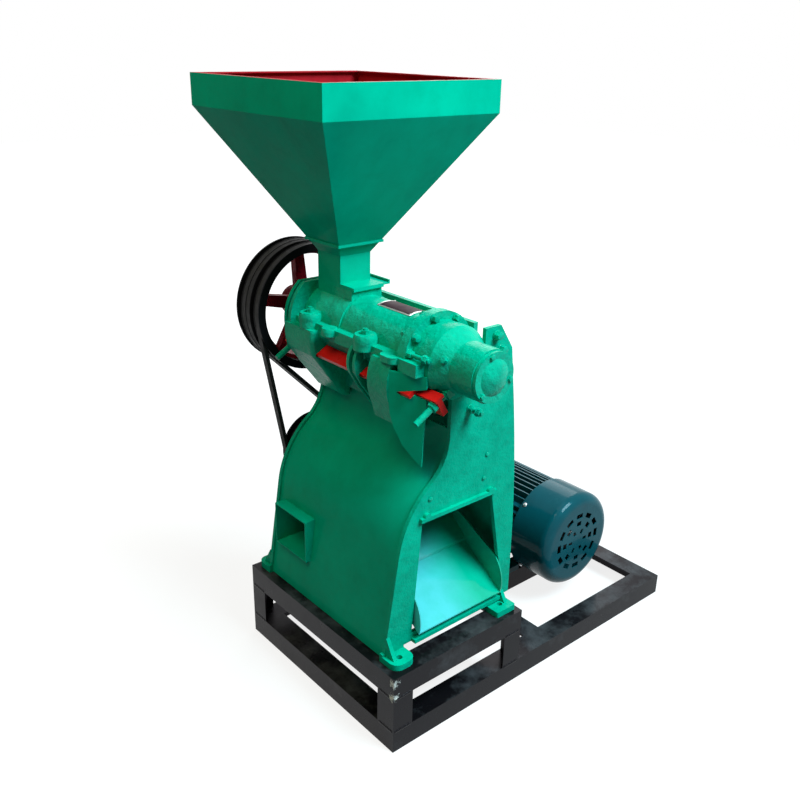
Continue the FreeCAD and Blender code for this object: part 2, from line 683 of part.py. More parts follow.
def make_blower():
    y0 = BLOWER_FRONT_Y
    y1 = BLOWER_REAR_Y
    inside_x = LEFT_KNEE[0] + 30
    housing = scroll(0, y0, y1, inside_x)
    housing = housing.cut(scroll(SHEET, y0 + SHEET, y1 - SHEET, inside_x - 1))
    housing = housing.cut(rod_y(SHAFT_X, BLOWER_Z, BLOWER_EYE_R, y0 - 1, y0 + SHEET + 1))
    housing = housing.cut(rod_y(SHAFT_X, BLOWER_Z, BLOWER_SHAFT_R + 6, y1 - SHEET - 1, y1 + 1))
    stays = []
    for x in (SHAFT_X - 70, SHAFT_X + 90):
        stays.append(box(x - 10, x + 10, y1, REAR_PLATE_Y, BLOWER_Z - 16, BLOWER_Z + 16))
    PIECES["blower_housing"] = [fused(housing, stays)]

    low, high = nozzle_levels()
    duct = box(NOZZLE_LIP_X, inside_x, y0, y1, low, high)
    duct = duct.cut(box(0, inside_x + 1, y0 + SHEET, y1 - SHEET, low + SHEET, high - SHEET))
    PIECES["side_nozzle"] = [duct]

    hub_y0 = y0 + 24
    hub_y1 = y1 - SHEET - 6
    hub = ring_y(SHAFT_X, BLOWER_Z, IMPELLER_HUB_R, BLOWER_SHAFT_R, hub_y0, hub_y1)
    disc = ring_y(SHAFT_X, BLOWER_Z, IMPELLER_R - 8, BLOWER_SHAFT_R, hub_y1 - IMPELLER_WALL, hub_y1)
    blades = []
    for k in range(IMPELLER_BLADES):
        blade = box(SHAFT_X + IMPELLER_HUB_R - 3, SHAFT_X + IMPELLER_R, hub_y0, hub_y1,
                    BLOWER_Z - IMPELLER_WALL / 2, BLOWER_Z + IMPELLER_WALL / 2)
        blade.rotate(Vector(SHAFT_X, 0, BLOWER_Z), BACK, k * 360.0 / IMPELLER_BLADES)
        blades.append(blade)
    PIECES["blower_impeller"] = [fused(hub, [disc] + blades)]

    housing_end = REAR_PLATE_BACK + BLOWER_HOUSING_LENGTH
    pulley_y = groove_y(BLOWER_GROOVE_NUMBER)
    far = pulley_y + GROOVE_EDGE + 8
    PIECES["blower_shaft"] = [rod_y(SHAFT_X, BLOWER_Z, BLOWER_SHAFT_R, hub_y0 - 6, far)]
    bearing_hole = BLOWER_BEARING_R
    block = ring_y(SHAFT_X, BLOWER_Z, BLOWER_HOUSING_R, BLOWER_SHAFT_R + 2,
                   REAR_PLATE_BACK, housing_end)
    seats = bearing_rows(REAR_PLATE_BACK, housing_end, BLOWER_BEARING_WIDTH)
    for start in seats:
        block = block.cut(rod_y(SHAFT_X, BLOWER_Z, bearing_hole, start, start + BLOWER_BEARING_WIDTH))
    PIECES["blower_bearing_housing"] = [block]
    PIECES["blower_bearings"] = [
        ring_y(SHAFT_X, BLOWER_Z, bearing_hole, BLOWER_SHAFT_R + RUNNING,
               start, start + BLOWER_BEARING_WIDTH) for start in seats
    ]
    PIECES["blower_pulley"] = [grooved_wheel(SHAFT_X, BLOWER_Z, BLOWER_PULLEY_R, pulley_y, 1,
                                             BLOWER_SHAFT_R, 14)]


def bearing_rows(y0, y1, width):
    return (y0 + 1, y1 - 1 - width)


# Pulleys and belts

def groove_y(index):
    return PULLEY_NEAR_Y + GROOVE_EDGE + index * GROOVE_PITCH


def rim_profile(radius, first_y, grooves, inner):
    """half section of a grooved rim, as radius and Y, first_y being the first groove's middle"""
    near = first_y - GROOVE_EDGE
    far = first_y + (grooves - 1) * GROOVE_PITCH + GROOVE_EDGE
    points = [(inner, near), (radius, near)]
    for k in range(grooves):
        y = first_y + k * GROOVE_PITCH
        points.append((radius, y - GROOVE_TOP / 2))
        points.append((radius - GROOVE_DEPTH, y - GROOVE_FLOOR / 2))
        points.append((radius - GROOVE_DEPTH, y + GROOVE_FLOOR / 2))
        points.append((radius, y + GROOVE_TOP / 2))
    return points + [(radius, far), (inner, far)]


def grooved_wheel(x, z, radius, first_y, grooves, bore, web):
    near = first_y - GROOVE_EDGE
    far = first_y + (grooves - 1) * GROOVE_PITCH + GROOVE_EDGE
    wheel = turned_y(x, z, rim_profile(radius, first_y, grooves, radius - GROOVE_DEPTH - 9))
    middle = (near + far) / 2
    disc = rod_y(x, z, radius - GROOVE_DEPTH - 5, middle - web / 2, middle + web / 2)
    hub = rod_y(x, z, bore + 16, near, far)
    wheel = fused(wheel, [disc, hub])
    return wheel.cut(rod_y(x, z, bore, near - 1, far + 1))


def make_main_pulley():
    inner = PULLEY_R - RIM_WALL
    rim = turned_y(SHAFT_X, SHAFT_Z, rim_profile(PULLEY_R, groove_y(0), GROOVE_COUNT, inner))
    PIECES["main_pulley_rim"] = [rim]
    middle = PULLEY_NEAR_Y + PULLEY_WIDTH / 2
    hub = rod_y(SHAFT_X, SHAFT_Z, HUB_R, middle - 40, middle + 40)
    seat = ring_y(SHAFT_X, SHAFT_Z, inner, inner - 9, middle - 26, middle + 26)
    spokes = []
    for k in range(SPOKES):
        root = SPOKE_WIDTH * 1.25
        spoke = Part.Face(Part.makePolygon([
            Vector(SHAFT_X + HUB_R - 6, middle - SPOKE_WALL / 2, SHAFT_Z - root / 2),
            Vector(SHAFT_X + inner - 4, middle - SPOKE_WALL / 2, SHAFT_Z - SPOKE_WIDTH / 2),
            Vector(SHAFT_X + inner - 4, middle - SPOKE_WALL / 2, SHAFT_Z + SPOKE_WIDTH / 2),
            Vector(SHAFT_X + HUB_R - 6, middle - SPOKE_WALL / 2, SHAFT_Z + root / 2),
            Vector(SHAFT_X + HUB_R - 6, middle - SPOKE_WALL / 2, SHAFT_Z - root / 2),
        ])).extrude(BACK * SPOKE_WALL)
        turn = -(SPOKE_FIRST + k * 360.0 / SPOKES)
        spoke.rotate(Vector(SHAFT_X, 0, SHAFT_Z), BACK, turn)
        spokes.append(spoke)
    spider = fused(hub, [seat] + spokes)
    spider = spider.cut(rod_y(SHAFT_X, SHAFT_Z, BEARING_BORE_R - 1, middle - 41, middle + 41))
    PIECES["main_pulley_spokes"] = [spider]


def belt_section(centre, angle, radius, y):
    """wedge section of a belt, standing out from a wheel's centre at an angle"""
    out = along(angle)
    corners = []
    for depth, half in ((0, BELT_TOP / 2), (BELT_HEIGHT, BELT_FLOOR / 2)):
        for side in ((-1, 1), (1, -1))[depth > 0]:
            corners.append(centre.add(out * (radius - depth)).add(BACK * (y + side * half)))
    return Part.Face(Part.makePolygon(corners + corners[:1]))


def wedge_belt(first, first_r, second, second_r, y):
    """belt round two wheels: two straight runs and the wraps between them"""
    span = second.sub(first)
    lean = math.atan2(span.z, span.x)
    opening = math.acos((first_r - second_r) / span.Length)
    solids = []
    for angle in (lean + opening, lean - opening):
        run = span.add(along(angle) * (second_r - first_r))
        solids.append(belt_section(first, angle, first_r, y).extrude(run))
    wrap = math.degrees(opening) * 2
    far = belt_section(second, lean - opening, second_r, y)
    near = belt_section(first, lean + opening, first_r, y)
    solids.append(far.revolve(second, BACK * -1, wrap))
    solids.append(near.revolve(first, BACK * -1, 360 - wrap))
    return fused(solids[0], solids[1:])


def make_belts():
    shaft = Vector(SHAFT_X, 0, SHAFT_Z)
    motor = Vector(MOTOR_X, 0, MOTOR_Z)
    blower = Vector(SHAFT_X, 0, BLOWER_Z)
    PIECES["drive_belts"] = [
        wedge_belt(shaft, PULLEY_R - 1, motor, MOTOR_PULLEY_R - 1, groove_y(k)) for k in DRIVE_GROOVE_NUMBERS
    ]
    PIECES["blower_belt"] = [
        wedge_belt(shaft, PULLEY_R - 1, blower, BLOWER_PULLEY_R - 1, groove_y(BLOWER_GROOVE_NUMBER))
    ]


# Mill head

def half_ring(radius, bore, y0, y1, upper):
    ring = ring_y(SHAFT_X, SHAFT_Z, radius, bore, y0, y1)
    z0, z1 = (SHAFT_Z, SHAFT_Z + radius + 1) if upper else (SHAFT_Z - radius - 1, SHAFT_Z)
    return ring.common(box(SHAFT_X - radius - 1, SHAFT_X + radius + 1, y0, y1, z0, z1))


def inlet_box():
    """outside and inside of the cast inlet box that the neck stands on"""
    x0 = SHAFT_X - NECK_WIDTH / 2
    x1 = SHAFT_X + NECK_WIDTH / 2
    y0 = HOPPER_Y - NECK_DEPTH / 2 - LEDGE
    y1 = HOPPER_Y + NECK_DEPTH / 2
    outer = box(x0, x1, y0, y1, SHAFT_Z, INLET_TOP)
    wall = INLET_WALL
    inner = box(x0 + wall, x1 - wall, y0 + LEDGE + wall, y1 - wall, SHAFT_Z - 1, INLET_TOP + 1)
    return outer, inner


def boss(x, y, radius, height):
    """boss on the cover's near lip, rounded on top"""
    waist = SHAFT_Z + height - radius * 0.5
    body = rod_z(x, y, radius, SHAFT_Z, max(waist, SHAFT_Z + 1))
    dome = Part.makeSphere(radius, Vector(x, y, waist))
    cap = dome.common(box(x - radius, x + radius, y - radius, y + radius, SHAFT_Z, SHAFT_Z + height))
    return body.fuse(cap)


def make_upper_cover():
    shell_in = COVER_R - COVER_WALL
    solid = half_ring(COVER_R, 1, COVER_FRONT_Y, COVER_REAR_Y, True)
    outer, inner = inlet_box()
    lip_x0 = SHAFT_X - COVER_R - COVER_LIP_REACH
    lip_x1 = FAR_WALL_X - SLACK
    lip = box(lip_x0, lip_x1, COVER_FRONT_Y, COVER_REAR_Y, SHAFT_Z, SHAFT_Z + COVER_LIP)
    flange = half_ring(FLANGE_R, 1, COVER_FRONT_Y, COVER_FRONT_Y + FLANGE_WALL, True)
    rear = half_ring(REAR_DISC_R, 1, COVER_REAR_Y - FLANGE_WALL, COVER_REAR_Y, True)
    rear = rear.common(box(0, lip_x1, 0, BASE_DEPTH, SHAFT_Z, REAR_DISC_TOP))
    saddle = half_ring(COVER_R + SADDLE, 1, HOPPER_Y - NECK_DEPTH / 2 - LEDGE,
                       HOPPER_Y + NECK_DEPTH / 2, True)
    bosses = [boss(SHAFT_X - BOSS_OUT, y, BOSS_R, BOSS_HEIGHT) for y in BOSS_Y]
    bosses.append(boss(SHAFT_X - LOW_BOSS_OUT, LOW_BOSS_Y, LOW_BOSS_R, LOW_BOSS_HEIGHT))
    lug = box(SHAFT_X - LUG_OUT, SHAFT_X - COVER_R + 10, COVER_FRONT_Y, COVER_FRONT_Y + LUG_LENGTH,
              SHAFT_Z, SHAFT_Z + COVER_LIP)
    corners = [e for e in lug.Edges if is_upright(e) and e.CenterOfMass.x < SHAFT_X - LUG_OUT + 1]
    lug = lug.makeFillet(LUG_OUT * 0.15, corners)
    cover = fused(solid, [outer, lip, flange, rear, saddle, lug] + bosses)
    cover = cover.cut(rod_y(SHAFT_X, SHAFT_Z, shell_in, COVER_FRONT_Y - 1, COVER_REAR_Y - COVER_WALL))
    cover = cover.cut(rod_y(SHAFT_X, SHAFT_Z, ROLLER_SEAT_R + 4, COVER_REAR_Y - 20, COVER_REAR_Y + 1))
    cover = cover.cut(inner)
    for y in BOSS_Y:
        cover = cover.cut(rod_z(SHAFT_X - BOSS_OUT, y, CLAMP_R + 1, SHAFT_Z - 1,
                                SHAFT_Z + BOSS_HEIGHT + 1))
    PIECES["upper_cover"] = [cover]


def knife_slot(y0, y1):
    """space that the knife and its slide take up, across the near walls"""
    r0 = KNIFE_IN_R - KNIFE_IN - 1
    r1 = KNIFE_OUT_R + KNIFE_OUT + 1
    half = KNIFE_WALL / 2 + SLACK
    return radial_bar(r0, r1, -half, half, y0, y1)


def radial_bar(r0, r1, low, high, y0, y1):
    """bar that points away from the shaft on the near side, KNIFE_DROP below level"""
    bar = box(SHAFT_X - r1, SHAFT_X - r0, y0, y1, SHAFT_Z + low, SHAFT_Z + high)
    bar.rotate(Vector(SHAFT_X, 0, SHAFT_Z), BACK, -KNIFE_DROP)
    return bar


def make_lower_casing():
    neck_x = LEFT_NECK[0]
    lip_x = SHAFT_X - COVER_R - COVER_LIP_REACH
    y0 = COVER_FRONT_Y
    ear_y = y0 + FRONT_WALL
    y1 = REAR_PLATE_Y
    wall = SEAT_WALL
    near = prism_y([
        (lip_x, SHAFT_Z), (lip_x, SHAFT_Z - COVER_LIP), (neck_x - wall, LEFT_SKIN_TOP + 44),
        (neck_x - wall, LEFT_SKIN_TOP), (neck_x + SKIN_INSET + SKIN, LEFT_SKIN_TOP),
        (neck_x + SKIN_INSET + SKIN, LEFT_SKIN_TOP + 30),
        (SHAFT_X - SCREEN_R, SHAFT_Z - 46), (SHAFT_X - SCREEN_R, SHAFT_Z),
    ], ear_y, y1)
    near = near.cut(rod_y(SHAFT_X, SHAFT_Z, SCREEN_R + SLACK, y0 - 1, y1 + 1))
    far_in = FAR_WALL_X
    right, _, right_top = right_side(SKIN_INSET + SKIN, SHAFT_Z)
    far = box(far_in, far_in + FAR_WALL, y0, y1, SHAFT_Z - COVER_LIP, FAR_WALL_TOP)
    shelf = box(SHAFT_X + SCREEN_R, right_top.x - SLACK, y0, y1, SHAFT_Z - COVER_LIP, SHAFT_Z)
    shelf = shelf.cut(rod_y(SHAFT_X, SHAFT_Z, SCREEN_R + SLACK, y0 - 1, y1 + 1))
    ears = [ear(FRONT_EAR, ear_y, FRONT_EAR_LENGTH)]
    rear_ear = ear(REAR_EAR, y1 - REAR_EAR_LENGTH, REAR_EAR_LENGTH)
    ears.append(rear_ear.makeFillet(REAR_EAR_ROUND, front_rim(rear_ear, y1 - REAR_EAR_LENGTH)))
    for rib_y in MID_RIB_Y:
        ears.append(ear(MID_RIB, rib_y, MID_RIB_WALL))
    casing = fused(near, [far, shelf] + ears)
    bridge = half_ring(COVER_R, SCREEN_R + SLACK, y0, ear_y, False)
    rear_bridge = half_ring(COVER_R, ROLLER_SEAT_R + 4, y1 - BRIDGE_WALL, y1, False)
    skirt = box(neck_x + SKIN, right_top.x, y0, ear_y, LEFT_SKIN_TOP + 20, SHAFT_Z)
    skirt = skirt.cut(rod_y(SHAFT_X, SHAFT_Z, SCREEN_R + SLACK, y0 - 1, y1 + 1))
    casing = fused(casing, [bridge, rear_bridge, skirt])
    casing = casing.cut(knife_slot(0, BASE_DEPTH))
    for y in BOSS_Y:
        casing = casing.cut(rod_z(SHAFT_X - BOSS_OUT, y, CLAMP_R + 1, SHAFT_Z - COVER_LIP - 9, SHAFT_Z + 1))
    PIECES["lower_casing"] = [casing]


def front_rim(slab, y):
    """edges of a slab's front face on its left, below the cover's lip"""
    rim = []
    for edge in slab.Edges:
        middle = edge.CenterOfMass
        if abs(middle.y - y) < 1 and middle.x < LEFT_NECK[0] - 30 and middle.z < SHAFT_Z - 1:
            rim.append(edge)
    return rim


def ear(outline, y, wall):
    """cast ear on the left: round at the cover's lip, then straight down to the body's neck"""
    top, bulge, corner, belly, low = [xz(p) for p in outline]
    inner_low = Vector(LEFT_NECK[0] - 0.5, 0, low.z)
    inner = xz((LEFT_NECK[0] - 0.5, SHAFT_Z - COVER_R))
    ring_in = xz((SHAFT_X - SCREEN_R - 4, SHAFT_Z - 46))
    ring_top = xz((SHAFT_X - SCREEN_R - 4, SHAFT_Z))
    corners = [corner, belly, low, inner_low, inner, ring_in, ring_top, top]
    edges = [Part.Arc(top, bulge, corner).toShape()]
    edges += [line(p, q) for p, q in zip(corners, corners[1:])]
    return slab_y(edges, y, y + wall)


def make_screen():
    y0 = COVER_FRONT_Y + FRONT_WALL + SLACK
    y1 = REAR_PLATE_Y - BRIDGE_WALL - SLACK
    screen = ring_y(SHAFT_X, SHAFT_Z, SCREEN_R, SCREEN_R - SCREEN_WALL, y0, y1)
    screen = screen.common(box(0, BASE_LENGTH, y0, y1, 0, SHAFT_Z))
    above = radial_bar(0, SCREEN_R * 2, -KNIFE_WALL / 2 - SLACK, SCREEN_R * 2, y0 - 1, y1 + 1)
    screen = screen.cut(above)
    rows = 3
    step = (y1 - y0) / rows
    slots = []
    for k in range(rows):
        middle = y0 + step * (k + 0.5)
        for turn in (60, 78, 96, 114, 132):
            slot = box(SHAFT_X + SCREEN_R - 9, SHAFT_X + SCREEN_R + 5,
                       middle - SCREEN_SLOT_LENGTH / 2, middle + SCREEN_SLOT_LENGTH / 2,
                       SHAFT_Z - SCREEN_SLOT / 2, SHAFT_Z + SCREEN_SLOT / 2)
            slot.rotate(Vector(SHAFT_X, 0, SHAFT_Z), BACK, turn)
            slots.append(slot)
    PIECES["rice_screen"] = [screen.cut(Part.makeCompound(slots))]


def make_discharge():
    y0 = FRONT_PLATE_BACK
    y1 = COVER_FRONT_Y
    bore = DISCHARGE_R - DISCHARGE_WALL
    shell = ring_y(SHAFT_X, SHAFT_Z, DISCHARGE_R, bore, y0, y1)
    flange = ring_y(SHAFT_X, SHAFT_Z, FLANGE_R, bore, y1 - FLANGE_WALL, y1)
    lug_x = SHAFT_X - DISCHARGE_R - LUG_REACH
    lug = box(lug_x, SHAFT_X - bore - 4, y0, y1, SHAFT_Z - LUG_WALL / 2, SHAFT_Z + LUG_WALL / 2)
    shell = fused(shell, [flange, lug])
    left = SHAFT_X - FLANGE_R - 40
    outlet = box(left, SHAFT_X - 30, y0 + 8, y1 - FLANGE_WALL - 6, SHAFT_Z - FLANGE_R - 5, SHAFT_Z - 40)
    shell = shell.cut(outlet).cut(knife_slot(KNIFE_FRONT_Y - 2, y1 + 1)).cut(arm_room())
    PIECES["discharge_housing"] = [shell]

    PIECES["rice_spout"] = [make_spout(lug_x)]


def make_spout(lug_x):
    """slanting plate in front of the lower casing, hung by a flange under the housing's lug"""
    turn = math.radians(SPOUT_TURN)
    rear_y = COVER_FRONT_Y + FRONT_WALL - SLACK
    forward = Vector(math.sin(turn), -math.cos(turn), 0)
    inward = Vector(math.cos(turn), math.sin(turn), 0)
    top_z = SHAFT_Z - LUG_WALL / 2
    outline = ((0.0, top_z),) + SPOUT_OUTLINE + ((SPOUT_OUTLINE[-1][0], top_z),)
    corners = []
    for run, z in outline:
        corners.append(Vector(SPOUT_LEFT_X, rear_y, z).add(forward * run))
    face = Part.Face(Part.makePolygon(corners + corners[:1]))
    plate = face.extrude(inward * SPOUT_WALL)
    plate = plate.cut(arm_room()).cut(knife_slot(0, BASE_DEPTH))
    head = rod_y(SHAFT_X, SHAFT_Z, FRONT_DISC_R + SLACK, 0, BASE_DEPTH)
    behind = box(0, BASE_LENGTH, rear_y, BASE_DEPTH, 0, SHAFT_Z)
    return plate.cut(head).cut(behind)


def make_knife():
    bar = radial_bar(KNIFE_IN_R, KNIFE_OUT_R, -KNIFE_WALL / 2, KNIFE_WALL / 2,
                     KNIFE_FRONT_Y, KNIFE_REAR_Y)
    PIECES["knife_bar"] = [bar]
    brackets = []
    half = BRACKET_WIDTH / 2
    high = -KNIFE_WALL / 2
    block_r = BRACKET_OUT_R - 2 - BRACKET_BLOCK
    laps = (KNIFE_FRONT_Y + BRACKET_LAP, REAR_PLATE_BACK + 1)
    for y, lap in zip(stud_rows(), laps):
        y0, y1 = min(y - half, lap), max(y + half, lap)
        arm = radial_bar(BRACKET_IN_R, BRACKET_OUT_R, high - BRACKET_WALL, high, y0, y1)
        block = radial_bar(block_r, block_r + BRACKET_BLOCK, -BRACKET_DROP, high, y - half, y + half)
        bracket = arm.fuse(block).removeSplitter()
        brackets.append(bracket.cut(stud_rod(y, STUD_R + 1)))
    PIECES["knife_brackets"] = brackets


def arm_room():
    """space that the front bracket's arm sweeps while the knife slides"""
    low = -KNIFE_WALL / 2 - BRACKET_WALL - 2
    y0 = FRONT_STUD_Y - BRACKET_WIDTH / 2 - 2
    return radial_bar(BRACKET_IN_R - KNIFE_IN - 2, BRACKET_OUT_R + KNIFE_OUT + 2,
                      low, 2 - KNIFE_WALL / 2, y0, KNIFE_FRONT_Y + BRACKET_LAP + 2)


def stud_rows():
    return (FRONT_STUD_Y, REAR_STUD_Y)


def stud_rod(y, radius):
    rod = Part.makeCylinder(radius, STUD_TIP_R - STUD_ROOT_R,
                            Vector(SHAFT_X - STUD_TIP_R, y, SHAFT_Z - STUD_DROP), RIGHT)
    rod.rotate(Vector(SHAFT_X, 0, SHAFT_Z), BACK, -KNIFE_DROP)
    return rod


def make_studs():
    PIECES["knife_studs"] = [stud_rod(y, STUD_R) for y in stud_rows()]
    clamps = []
    for y in BOSS_Y:
        x = SHAFT_X - BOSS_OUT
        top = SHAFT_Z + BOSS_HEIGHT
        bolt = rod_z(x, y, CLAMP_R, SHAFT_Z - COVER_LIP - 8, top + 12)
        clamps.append(bolt.fuse(hexagon(Vector(x, y, top), UP, 17, 8)))
    PIECES["cover_clamps"] = clamps


# Main shaft

def make_shaft_line():
    front = FRONT_HOUSING_Y + 6
    hub_end = PULLEY_NEAR_Y + PULLEY_WIDTH / 2 + 40
    shaft = rod_y(SHAFT_X, SHAFT_Z, BEARING_BORE_R - RUNNING, front, hub_end + 12)
    thick = rod_y(SHAFT_X, SHAFT_Z, ROLLER_SEAT_R, FRONT_PLATE_Y - 30, REAR_PLATE_BACK)
    shaft = shaft.fuse(thick)
    middle = PULLEY_NEAR_Y + PULLEY_WIDTH / 2
    seat = ring_y(SHAFT_X, SHAFT_Z, BEARING_BORE_R + 1, BEARING_BORE_R - 1, middle - 40, hub_end + 13)
    PIECES["main_shaft"] = [shaft.cut(seat).removeSplitter()]

    roller = ring_y(SHAFT_X, SHAFT_Z, ROLLER_CORE_R, ROLLER_SEAT_R, ROLLER_FRONT_Y, ROLLER_REAR_Y)
    ribs = []
    for k in range(ROLLER_RIBS):
        rib = box(SHAFT_X + ROLLER_CORE_R - 3, SHAFT_X + ROLLER_R, ROLLER_FRONT_Y, ROLLER_REAR_Y,
                  SHAFT_Z - ROLLER_RIB / 2, SHAFT_Z + ROLLER_RIB / 2)
        rib.rotate(Vector(SHAFT_X, 0, SHAFT_Z), BACK, k * 360.0 / ROLLER_RIBS)
        ribs.append(rib)
    PIECES["milling_roller"] = [fused(roller, ribs)]
    PIECES["feed_screw"] = [make_screw()]
    nut_y = hub_end + SLACK
    nut = hexagon(Vector(SHAFT_X, nut_y, SHAFT_Z), BACK, 46, 11)
    PIECES["shaft_nut"] = [nut.cut(rod_y(SHAFT_X, SHAFT_Z, BEARING_BORE_R - 1, nut_y - 1, nut_y + 12))]


def make_screw():
    y0 = ROLLER_REAR_Y
    length = SCREW_REAR_Y - y0
    core = rod_y(SHAFT_X, SHAFT_Z, SCREW_CORE_R, y0, SCREW_REAR_Y)
    turns = length - SCREW_FLIGHT
    helix = Part.makeHelix(SCREW_PITCH, turns, SCREW_CORE_R)
    r0 = SCREW_CORE_R - 4
    section = Part.makePolygon([
        Vector(r0, 0, 0), Vector(ROLLER_R, 0, 0), Vector(ROLLER_R, 0, SCREW_FLIGHT),
        Vector(r0, 0, SCREW_FLIGHT), Vector(r0, 0, 0),
    ])
    flight = Part.Wire(helix).makePipeShell([section], True, True)
    flight.Placement = FreeCAD.Placement(Vector(SHAFT_X, y0, SHAFT_Z), FreeCAD.Rotation(UP, BACK))
    screw = core.fuse(flight)
    return screw.cut(rod_y(SHAFT_X, SHAFT_Z, ROLLER_SEAT_R, y0 - 1, SCREW_REAR_Y + 1))


def stud_boss(y, inner_r):
    """block that carries the root of a knife stud"""
    half = STUD_R + 3
    return radial_bar(inner_r, STUD_ROOT_R, -STUD_DROP - half, -STUD_DROP + half, y - half, y + half)


def make_bearings():
    front_y = FRONT_HOUSING_Y + CAP_WALL
    rear_y = REAR_PLATE_BACK + REAR_HOUSING_LENGTH - BEARING_WIDTH - 2
    rings = []
    for y in (front_y, rear_y):
        rings.append(ring_y(SHAFT_X, SHAFT_Z, BEARING_R, BEARING_BORE_R, y, y + BEARING_WIDTH))
    PIECES["main_bearings"] = rings
    hole = ROLLER_SEAT_R + 4
    housing = turned_y(SHAFT_X, SHAFT_Z, [
        (hole, FRONT_HOUSING_Y), (HOUSING_R, FRONT_HOUSING_Y), (HOUSING_R, FRONT_CONE_Y),
        (FRONT_DISC_R, FRONT_PLATE_Y), (hole, FRONT_PLATE_Y),
    ])
    housing = fused(housing, [stud_boss(FRONT_STUD_Y, HOUSING_R - 17)]).cut(arm_room())
    bore = rod_y(SHAFT_X, SHAFT_Z, BEARING_R, FRONT_HOUSING_Y - 1, front_y + BEARING_WIDTH)
    PIECES["front_bearing_housing"] = [housing.cut(bore)]
    end_y = REAR_PLATE_BACK + REAR_HOUSING_LENGTH
    rear = ring_y(SHAFT_X, SHAFT_Z, HOUSING_R, hole, REAR_PLATE_BACK, end_y)
    pocket = rod_y(SHAFT_X, SHAFT_Z, BEARING_R, rear_y, end_y + 1)
    rear = fused(rear, [stud_boss(REAR_STUD_Y, HOUSING_R - 4)])
    PIECES["rear_bearing_housing"] = [rear.cut(pocket).cut(knife_slot(REAR_PLATE_Y, KNIFE_REAR_Y + 1))]
    cap = rod_y(SHAFT_X, SHAFT_Z, CAP_R, FRONT_HOUSING_Y - CAP_WALL, FRONT_HOUSING_Y)
    spigot = ring_y(SHAFT_X, SHAFT_Z, BEARING_R - RUNNING, BEARING_R - 6,
                    FRONT_HOUSING_Y, front_y - SLACK)
    sphere_r = (DOME_R ** 2 + DOME_HEIGHT ** 2) / (2 * DOME_HEIGHT)
    face_y = FRONT_HOUSING_Y - CAP_WALL
    dome = Part.makeSphere(sphere_r, Vector(SHAFT_X, face_y + sphere_r - DOME_HEIGHT, SHAFT_Z))
    dome = dome.common(rod_y(SHAFT_X, SHAFT_Z, DOME_R, face_y - DOME_HEIGHT, face_y))
    cap = fused(cap, [spigot, dome])
    PIECES["front_bearing_cap"] = [cap.cut(rod_y(SHAFT_X, SHAFT_Z, BEARING_BORE_R + 4,
                                                 FRONT_HOUSING_Y - 3, FRONT_HOUSING_Y + 1))]
    cap_end = min(end_y + 5, PULLEY_NEAR_Y - 1)
    PIECES["rear_bearing_cap"] = [ring_y(SHAFT_X, SHAFT_Z, CAP_R, BEARING_BORE_R + 1, end_y, cap_end)]


# Hopper

def frustum(width0, depth0, z0, width1, depth1, z1):
    """solid with a rectangle at each end and four flat sides"""
    rings = []
    for width, depth, z in ((width0, depth0, z0), (width1, depth1, z1)):
        x0, y0 = SHAFT_X - width / 2, HOPPER_Y - depth / 2
        x1, y1 = x0 + width, y0 + depth
        rings.append([Vector(x0, y0, z), Vector(x1, y0, z), Vector(x1, y1, z), Vector(x0, y1, z)])
    low, high = rings
    faces = [low, high]
    for k in range(4):
        n = (k + 1) % 4
        faces.append([low[k], low[n], high[n], high[k]])
    shell = Part.makeShell([Part.Face(Part.makePolygon(f + f[:1])) for f in faces])
    solid = Part.makeSolid(shell)
    if solid.Volume < 0:
        solid.reverse()
    return solid


def taper_at(z):
    """outside width and depth of the hopper's taper at height z"""
    share = (z - NECK_TOP) / (HOPPER_TOP - HOPPER_RIM - NECK_TOP)
    return (NECK_WIDTH + (HOPPER_WIDTH - NECK_WIDTH) * share,
            NECK_DEPTH + (HOPPER_DEPTH - NECK_DEPTH) * share)


def taper_shell(z0, z1):
    """hollow taper between two heights, open at both ends"""
    t = HOPPER_SHEET * 2.4
    (w0, d0), (w1, d1) = taper_at(z0), taper_at(z1)
    outer = frustum(w0, d0, z0, w1, d1, z1)
    inner = frustum(w0 - t, d0 - t, z0 - 0.01, w1 - t, d1 - t, z1 + 0.01)
    return outer.cut(inner)


def square_tube(width, depth, z0, z1, wall):
    x0, y0 = SHAFT_X - width / 2, HOPPER_Y - depth / 2
    tube = box(x0, x0 + width, y0, y0 + depth, z0, z1)
    return tube.cut(box(x0 + wall, x0 + width - wall, y0 + wall, y0 + depth - wall, z0 - 1, z1 + 1))


